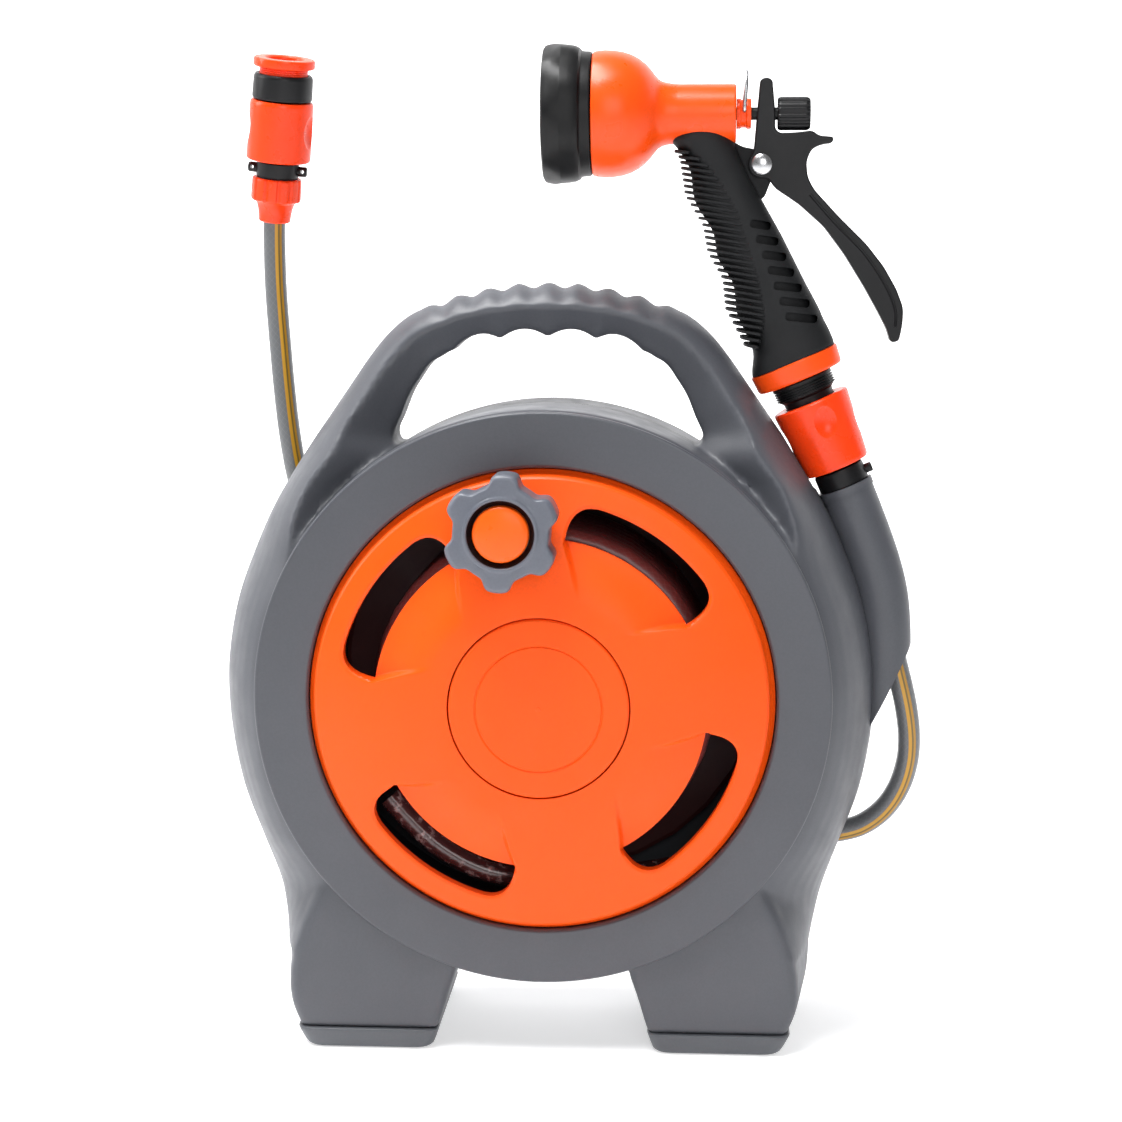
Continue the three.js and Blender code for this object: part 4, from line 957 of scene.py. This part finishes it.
def gun_connector():
    body = along_gun("gun_connector", [
        (HOSE_R + 0.2, 56), (9.6, 56), (12.0, 57.2), (12.3, 58.2), (12.3, 65), (12.0, 65.6), (10.8, 66),
        (10.6, 66.6), (10.6, 80), (10.2, 82), (8.5, 86), (HOSE_R + 0.2, 86)])
    tab = lathe("tab", rounded([(0, 8, 0), (2.3, 8, 0), (2.3, 15.6, 0.8), (0, 15.6, 0)], 0.8),
                GUN_FOOT + GUN_DOWN * 62, GUN_ACROSS, 32)
    cut(body, tab, operation="UNION")
    show(body, "casing", black, "black_plastic", "gun_hose_connector")
    collar = along_gun("gun_collar", [
        (12.7, 21.5), (17.2, 21.3), (18.2, 21.6), (18.7, 22.4), (18.75, 23.4), (16.2, 53.4), (16.0, 54.8),
        (15.4, 55.7), (14.6, 55.9), (12.7, 55.9)], 144)
    dimple = GUN_FOOT + GUN_DOWN * 33 + GUN_ACROSS * 4.5 + Vector((0, -25.5, 0))
    for offset in ((0, 0, 0), (0, 51, 0)):
        cut(collar, ball("dimple", dimple + Vector(offset), 10.4, 1.2))
    for side in (-1, 1):
        cut(collar, ball("dimple", GUN_FOOT + GUN_DOWN * 38 + GUN_ACROSS * side * 31.5, 15.2, 1.1))
    show(collar, "gun_collar", coupling_orange, "coupling_orange", "gun_connector_collar", angle=28)
    adaptor = along_gun("gun_adaptor", [
        (6, 9.9), (14.6, 9.9), (15, 10.4), *thread(11.4, 1.2, 5, 15.0, 14.0, 0, 0.4, 0.7, 1.1),
        (13.4, 17.6), (12.4, 18.6), (12.2, 20.4), (12.2, 30), (9.2, 31), (9.2, 55.4), (6, 55.4)])
    show(adaptor, "gun", black, "black_plastic", "gun_inlet_adaptor")
    ring = along_gun("grip_ring", [
        (0, 0.2), (21.2, 0.2), (21.8, 0.5), (22, 1.2), (21.4, 7.8), (21.1, 8.8), (20.4, 9.4), (19.6, 9.6),
        (0, 9.6)], 144, squash=0.82)
    show(ring, "gun", gun_orange, "gun_orange", "grip_end_ring")


# ---------- spray gun ----------
BARREL = Vector((0, GUN_Y, 446.5))
ALONG_X = (1, 0, 0)
PIVOT_X, PIVOT_Z = 101.4, 422.7
GRIP = [
    ((98.2, 321.3), (137.2, 337.9), 17.2), ((98.0, 325), (136.6, 340), 17.4),
    ((98.4, 333), (134.4, 345), 17.2),
    ((95.5, 341), (132, 349.5), 16.8), ((90.5, 352), (129, 356), 16.2), ((88.5, 366), (123.2, 366.5), 15.3),
    ((81.2, 378), (117.5, 377.5), 14.6), ((78.5, 391), (111, 390), 14), ((70, 405), (103, 404), 13.2),
    ((67.5, 420), (95.3, 418), 12.4), ((61.5, 430), (90.3, 429), 12), ((57.2, 435), (88.4, 433.5), 11.8),
    ((60.5, 438.8), (86.6, 437), 10.9), ((66, 441), (83, 440), 9.6)]
FIN_TIPS = [(431, 58), (424, 62.2), (405, 64.7), (391, 73.4), (378, 75.7), (366, 83), (352, 84.4), (334, 95)]
FIN_ENDS = [(431, 62), (426.9, 68), (422.8, 74.5), (413.9, 81), (399.8, 88.9), (383.4, 94.8), (369.3, 98.8),
            (354, 101.8), (345.8, 101.4), (334, 99.5)]
FIN_DEPTHS = [(428, 12.6), (405, 13.7), (378, 15), (352, 16.6), (330, 17.6)]
FIN_TOP, FIN_BOTTOM = 428, 335
FIN_PITCH = 3.05
FIN_TILT = math.radians(9)
GROOVES = 7
GROOVE_PITCH = 7.3
GROOVE_DEPTH = 2.2


def between(table, value):
    """A value read off a table of falling places, straight between its rows."""
    for (a, x), (b, y) in zip(table, table[1:]):
        if value >= b:
            t = (a - value) / (a - b)
            return x + (y - x) * min(max(t, 0), 1)
    return table[-1][1]


def squared(value, power):
    """A sine or cosine drawn out towards a square, with its sign kept."""
    return math.copysign(abs(value) ** power, value)


def oval(front, back, depth, steps=56, square=0.86):
    """A flattened round between a front and a back point in the plane of the gun."""
    middle = (Vector(front) + Vector(back)) / 2
    half = (Vector(back) - Vector(front)) / 2
    ring = []
    for i in range(steps):
        angle = 2 * math.pi * i / steps
        c, s = squared(math.cos(angle), square), squared(math.sin(angle), square)
        ring.append(Vector((middle.x + half.x * c, GUN_Y + depth * s, middle.y + half.y * c)))
    return ring


def grip_sections():
    sections = []
    for i, (a, b) in enumerate(zip(GRIP, GRIP[1:])):
        before, after = GRIP[max(i - 1, 0)], GRIP[min(i + 2, len(GRIP) - 1)]
        for step in range(4):
            front, back = (blended(before[k], a[k], b[k], after[k], step / 4) for k in (0, 1))
            sections.append((front, back, a[2] + (b[2] - a[2]) * step / 4))
    return [*sections, GRIP[-1]]


def gun_grip():
    body = loft("grip", [oval(*section) for section in grip_sections()])
    lean = Vector((math.cos(FIN_TILT), 0, -math.sin(FIN_TILT)))
    up = Vector((math.sin(FIN_TILT), 0, math.cos(FIN_TILT)))
    grooves = []
    for i in range(GROOVES):
        z = 395 - GROOVE_PITCH * i
        left = Vector((96.2 + 2.85 * i, 0, z))
        right = Vector((106.0 + 3.78 * i, 0, z - 1.6))
        across = (right - left).normalized()
        rise = Vector((-across.z, 0, across.x)) * 2.0
        corners = [left - rise, right - rise, right + rise, left + rise]
        grooves.append(prism("groove", rounded([(p.x, p.z) for p in corners], 1.7), -40, 30))
    grooves = merged("grooves", *grooves)
    core = []
    for front, back, depth in grip_sections():
        inset = (Vector(back) - Vector(front)).normalized() * GROOVE_DEPTH
        core.append(oval(Vector(front) + inset, Vector(back) - inset, depth - GROOVE_DEPTH))
    cut(grooves, loft("core", core))
    cut(body, grooves)
    fins = []
    for i in range(int((FIN_TOP - FIN_BOTTOM) / FIN_PITCH) + 1):
        z = FIN_TOP - FIN_PITCH * i
        tip, end = between(FIN_TIPS, z), between(FIN_ENDS, z)
        depth = between(FIN_DEPTHS, z)
        rings = []
        for lift, inset in ((-0.75, 0.5), (-0.45, 0), (0.45, 0), (0.75, 0.5)):
            ring = []
            for j in range(36):
                angle = 2 * math.pi * j / 36
                c, s = squared(math.cos(angle), 0.8), squared(math.sin(angle), 0.8)
                mid, half = (tip + 2 * end - tip) / 2, end - tip - inset
                point = Vector((mid, 0, z)) + lean * (half * c if c < 0 else half * 0.25 * c)
                point.y = GUN_Y + (depth - inset) * s
                ring.append(point + up * lift)
            rings.append(ring)
        fins.append(loft("fin", rings))
    ear = prism("ear", rounded([
        (84, 436), (92, 431), (100, 429.5), (106.8, 427), (108.4, 422.7), (106.6, 416.5), (103, 407),
        (99.5, 405), (97, 407), (90, 415)], 2.4), GUN_Y - 2.6, GUN_Y + 2.6)
    cut(body, lathe("barrel_room", disc_profile(13.6, 30, 89.4), BARREL, ALONG_X, 64))
    grip = merged("grip_with_fins", body, *fins, ear)
    show(grip, "gun", grip_black, "grip_black", "grip", angle=38)


def dial_wave(angle, r, x):
    if r < 31:
        return r
    lean = 0.5 if x > 6 else 0.0
    ridge = abs(((angle * 8 / math.pi / 2 + lean) % 1) * 2 - 1)
    return r - 0.5 + 0.9 * smooth_step(0, 1, ridge)


def gun_head():
    dial = lathe("pattern_dial", [
        (27.6, -1.0), (30, -2.4), (30.9, -2.3), (31.8, -1.6), (32.4, 0.4), (32.8, 3), (33.2, 6.2),
        (33.2, 6.6), (32.9, 10), (32.4, 13), (31.4, 14.9), (30.4, 15.4), (29.8, 15.8), (29.6, 16.4),
        (29.4, 19.6), (29.0, 20.4), (7.8, 20.4), (7.8, 3.1), (27.6, 3.1)],
        BARREL, ALONG_X, 192, wave=dial_wave)
    show(dial, "dial", dial_black, "dial_black", "pattern_dial", angle=24)
    body = lathe("gun_body", [
        (7.6, 21), (28.6, 21), (29.2, 21.4), (29.7, 23.4), (29.95, 27), (29.8, 31), (29.1, 35.4),
        (27.8, 39.4), (25.9, 43), (23.4, 46.2), (20.6, 48.8), (18.2, 50.6), (16.4, 52.2), (15.3, 54),
        (14.6, 56.4), (14.2, 59.4), (14, 62), (14, 88.2), (13.8, 88.8), (13.3, 89.2), (7.6, 89.2)],
        BARREL, ALONG_X, 160)
    show(body, "gun", gun_orange, "gun_orange", "gun_body")
    nut = lathe("gland_nut", rounded([
        (3.5, 89.4, 0), (7.2, 89.4, 0.2), (7.2, 91.2, 0.3), (6.6, 91.6, 0.2), (6.6, 93.8, 0.2),
        (7.2, 94.2, 0.3), (7.2, 96.3, 0.6), (3.5, 96.3, 0)], 0.4, 3), BARREL, ALONG_X, 64)
    show(nut, "gun", gun_orange, "gun_orange", "valve_gland_nut")
    bail = smooth_route([(x, GUN_Y + y, 447.7 + z) for x, y, z in (
        (93, -5, 0), (93, -8.6, 0.3), (93.2, -8.8, 5), (93.8, -8.4, 12), (94, -5.5, 17.4), (94, 0, 18.6),
        (94, 5.5, 17.4), (93.8, 8.4, 12), (93.2, 8.8, 5), (93, 8.6, 0.3), (93, 5, 0))], 8)
    show(tube("lock_bail", bail, 0.95, 16), "bail", steel, "plain_steel", "trigger_lock_bail")
    stem = lathe("valve_stem", disc_profile(3, 86, 124), BARREL, ALONG_X, 32)
    show(stem, "valve", black, "black_plastic", "valve_stem")
    adjuster = lathe("flow_adjuster", rounded([
        (3.4, 108.8, 0), (7.2, 108.8, 0.6), (7.9, 109.8, 0.5), (7.9, 122.9, 0.8), (7.0, 124.4, 0.8),
        (3.4, 124.4, 0)], 0.5, 3), BARREL, ALONG_X, 144,
        wave=lambda a, r, s: r - (0.55 * (0.5 + 0.5 * math.tanh(4 * math.cos(16 * a))) if r > 6 else 0))
    show(adjuster, "adjuster", black, "black_plastic", "flow_adjuster")


LEVER = [
    (100.3, 462.2), (103.2, 463.4), (106.2, 462.2), (107.6, 447.3), (107.7, 439.1), (110, 437.3),
    (118, 437.6), (125.4, 438.5), (128.3, 436.1), (135.4, 435.5), (134.9, 432.6), (129.6, 432),
    (124.9, 429.7), (122.6, 423.9), (123.3, 416.8), (126.3, 411), (138.4, 398), (151.6, 385.1),
    (160, 374.5), (166.2, 363.8), (169.6, 355), (169.4, 347.2), (167.8, 338.9), (163.7, 338.3),
    (161.8, 344.8), (156.8, 354.3), (150.7, 365), (141, 380.4), (131.3, 393.3), (119.3, 403.9),
    (108, 411.4), (104.4, 416.6), (99.4, 416.2), (95.6, 419.2), (94.8, 424), (97.6, 428.6)]
LEVER_HALF = 6.0


def trigger():
    lever = prism("trigger_lever", rounded(LEVER, 2.6, 4), GUN_Y - LEVER_HALF, GUN_Y + LEVER_HALF)
    lever = soften(lever, 0.9, 3, 40)
    cut(lever,
        block("fork", 80, 109.2, GUN_Y - 3, GUN_Y + 3, 396, 431.5),
        block("stem_slot", 96, 112, GUN_Y - 3.5, GUN_Y + 3.5, 440.6, 453),
        turned("pivot_hole", disc_profile(2.8, -40, 30), 40, PIVOT_X, PIVOT_Z))
    line = smooth_route([(124.5, GUN_Y, 408.5), (136, GUN_Y, 395.5), (149, GUN_Y, 382.5), (157, GUN_Y, 372),
                         (163, GUN_Y, 361.5), (166, GUN_Y, 353), (165.8, GUN_Y, 346)], 6)
    for side in (-1, 1):
        cut(lever, tube("edge_line", [p + Vector((0, side * (LEVER_HALF + 0.2), 0)) for p in line], 0.75, 10))
    show(lever, "trigger", black, "black_plastic", "trigger_lever")
    reach = LEVER_HALF + 0.3
    half = [(0, -reach - 1.9), (2.4, -reach - 1.8), (4.0, -reach - 1.3), (4.9, -reach - 0.5), (4.9, -reach),
            (2.5, -reach)]
    profile = half + [(r, -y) for r, y in reversed(half)]
    pin = turned("pivot_pin", [(r, y + GUN_Y) for r, y in profile], 64, PIVOT_X, PIVOT_Z)
    show(pin, "gun", steel, "plain_steel", "trigger_pivot_pin")


gun_holster()
gun_connector()
gun_grip()
gun_head()
trigger()


# ---------- tap connector ----------
def along_tap(name, profile, segments=96, **more):
    return lathe(name, profile, TAP_BASE, TAP_AXIS, segments, **more)


def nut_flutes(angle, r, s):
    if r < 11:
        return r
    return r - 0.8 * (0.5 - 0.5 * math.tanh(5 * (math.cos(12 * angle) + 0.72)))


TAP_ACROSS = Vector((0, 1, 0)).cross(TAP_AXIS).normalized()


def tap_connector():
    nut = along_tap("tap_nut", [
        (HOSE_R + 0.15, 0), (7.4, 0), (7.9, 0.5), (8.1, 3), (8.5, 6), (9.4, 9.2), (10.2, 10.1), (11.6, 10.5),
        (12.2, 11), (12.4, 12), (12.3, 20.8), (12.0, 21.6), (11.4, 22), (10.3, 22), (10.3, 12),
        (HOSE_R + 0.15, 9)], 192, wave=nut_flutes)
    show(nut, "casing", coupling_orange, "coupling_orange", "tap_hose_nut", angle=30)
    body = along_tap("tap_body", [
        (4.4, 9.3), (5.3, 9.3), (9.8, 12.6), (9.8, 22.3), (10.2, 22.5), (10.5, 23.2), (10.5, 29.4), (10, 30),
        (9.8, 46), (5, 46)])
    for side in (-1, 1):
        ear = lathe("ear", rounded([(0, 8, 0), (2.5, 8, 0), (2.5, 14.8, 1.2), (0, 14.8, 0)], 1.2),
                    TAP_BASE + TAP_AXIS * 26, TAP_ACROSS * side, 32)
        cut(body, ear, operation="UNION")
        hole = TAP_BASE + TAP_AXIS * 26 + TAP_ACROSS * side * 12.6
        cut(body, turned("ear_hole", disc_profile(0.9, hole.y - 4, hole.y + 4), 20, hole.x, hole.z))
    show(body, "casing", black, "black_plastic", "tap_connector_body")
    collar = along_tap("tap_collar", [
        (10.8, 30.7), (15.0, 30.7), (15.6, 31.1), (15.9, 32), (15.7, 57.8), (15.5, 59), (15.0, 59.9),
        (14.2, 60.1), (13, 60.1), (13, 48), (10.8, 48)], 144)
    for side in (-1, 1):
        cut(collar, ball("dimple", TAP_BASE + TAP_AXIS * 45 + TAP_ACROSS * side * 24.2 + Vector((0, -5, 0)),
                         11.4, 1.15))
    show(collar, "tap_collar", coupling_orange, "coupling_orange", "tap_connector_collar", angle=28)
    adaptor = along_tap("tap_adaptor", [
        (6.5, 47), (9.4, 47), (9.4, 59), (12.4, 60.5), (14, 60.6), (14.6, 61), (14.8, 61.8), (14.6, 71),
        (14.3, 72.2), (13.6, 73), (12.3, 73), (12.3, 62), (6.5, 61)], 128)
    show(adaptor, "tap_swivel", black, "black_plastic", "tap_adaptor")
    reducer = along_tap("tap_reducer", [
        (8.6, 62.7), (11.9, 62.7), *thread(73.4, 0.9, 3, 11.9, 11.3, 0, 0.35, 0.55, 0.8),
        (11.9, 76.3), (14.5, 76.4), (15, 76.8), (15.1, 77.4), (15.1, 79.8), (14.8, 80.5),
        (14.2, 80.8), (10.2, 80.8), (9.2, 80.2), (8.6, 79)], 128)
    show(reducer, "tap_swivel", coupling_orange, "coupling_orange", "tap_thread_reducer", angle=30)


# ---------- back of the reel, and the pieces inside ----------
def inlet():
    centre = Vector((0, 56, AXIS_Z))
    elbow = turned("inlet_elbow", rounded([(0, 46.3, 0), (14, 46.3, 1), (14, 62, 2), (0, 62, 0)], 1.5), 72)
    stub = lathe("stub", disc_profile(8, 0, 18), centre, (-1, 0, 0), 48)
    cut(elbow, stub, operation="UNION")
    soften(elbow, 0.5, 2, 50)
    show(elbow, "casing", black, "black_plastic", "inlet_elbow")
    nut = lathe("inlet_nut", [
        (8.3, 14.5), (10.2, 14.6), (10.5, 15.2), (10.5, 23.6), (10, 24.8), (8, 29), (5.65, 29), (5.65, 18.4),
        (8.3, 18.4)], centre, (-1, 0, 0), 96,
        wave=lambda a, r, s: r - (0.4 * (0.5 + 0.5 * math.cos(14 * a)) if r > 9.8 else 0))
    show(nut, "casing", coupling_orange, "coupling_orange", "inlet_hose_nut")
    plate = turned("flange_plate", [
        (12.3, 42.3), (26, 42.3), (26, 44.6), (25.6, 45.2), (24.6, 45.5), (12.3, 45.5)], 96)
    show(plate, "casing", black, "black_plastic", "axle_flange_plate")


KEPT = {
    "drum_spool": spool_painted_bounce, "hose_clip_lower": black, "hose_clip_upper": black,
    "hose_port_grommet": seal_black, "water_axle": black, "axle_retainer": steel, "axle_seal": seal_black,
    "front_bush": bush_white, "rear_bush": bush_white, "crank_pin_washer": steel, "dial_spindle": black,
    "spray_face": face_grey}
KEPT.update({f"casing_screw_{i}": steel for i in range(1, 7)})
KEPT.update({f"flange_screw_{i}": steel for i in range(1, 5)})


def repaint():
    for name, material in KEPT.items():
        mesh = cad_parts[name].data
        mesh.materials.clear()
        mesh.materials.append(material)


tap_connector()
inlet()
repaint()


# ---------- stage ----------
def sheet(name, corners, glow):
    """A plain white surface of the studio, which glows a little so that it stays even."""
    mesh = bpy.data.meshes.new(name)
    mesh.from_pydata(corners, [], [(0, 1, 2, 3)])
    obj = linked(name, mesh)
    nodes = Nodes(name)
    nodes.set(Base_Color=(0.88, 0.88, 0.89), Roughness=0.8, Specular_IOR_Level=0.1,
              Emission_Color=(1.0, 1.0, 1.0), Emission_Strength=glow)
    mesh.materials.append(nodes.material)


FLOOR_GLOW = 0.5
BACKDROP_GLOW = 1.0
WORLD_LIGHT = 0.22


def stage():
    size, far, top = 8.0, 2.4, 4.0
    sheet("floor", [(-size, -size, 0), (size, -size, 0), (size, far, 0), (-size, far, 0)], FLOOR_GLOW)
    sheet("backdrop", [(-size, far, -1), (size, far, -1), (size, far, top), (-size, far, top)],
          BACKDROP_GLOW)
    world = bpy.data.worlds.new("studio")
    world.use_nodes = True
    background = world.node_tree.nodes["Background"]
    background.inputs["Color"].default_value = (1.0, 1.0, 1.0, 1)
    background.inputs["Strength"].default_value = WORLD_LIGHT
    bpy.context.scene.world = world
    bpy.context.scene.view_settings.view_transform = "Standard"


def lamp(name, where, towards, size, power):
    data = bpy.data.lights.new(name, "AREA")
    data.shape = "RECTANGLE"
    data.size, data.size_y = size
    data.energy = power
    obj = linked(name, data)
    direction = Vector(towards) - Vector(where)
    obj.rotation_euler = direction.to_track_quat("-Z", "Y").to_euler()
    obj.location = where


stage()
lamp("top_softbox", (-0.35, -0.2, 1.6), (0, 0, 0.2), (1.0, 0.6), 34)
lamp("side_softbox", (-1.5, -0.1, 1.0), (0, 0, 0.25), (0.5, 1.0), 12)
lamp("front_softbox", (0.4, -1.9, 0.9), (0, 0, 0.22), (0.8, 0.9), 8)
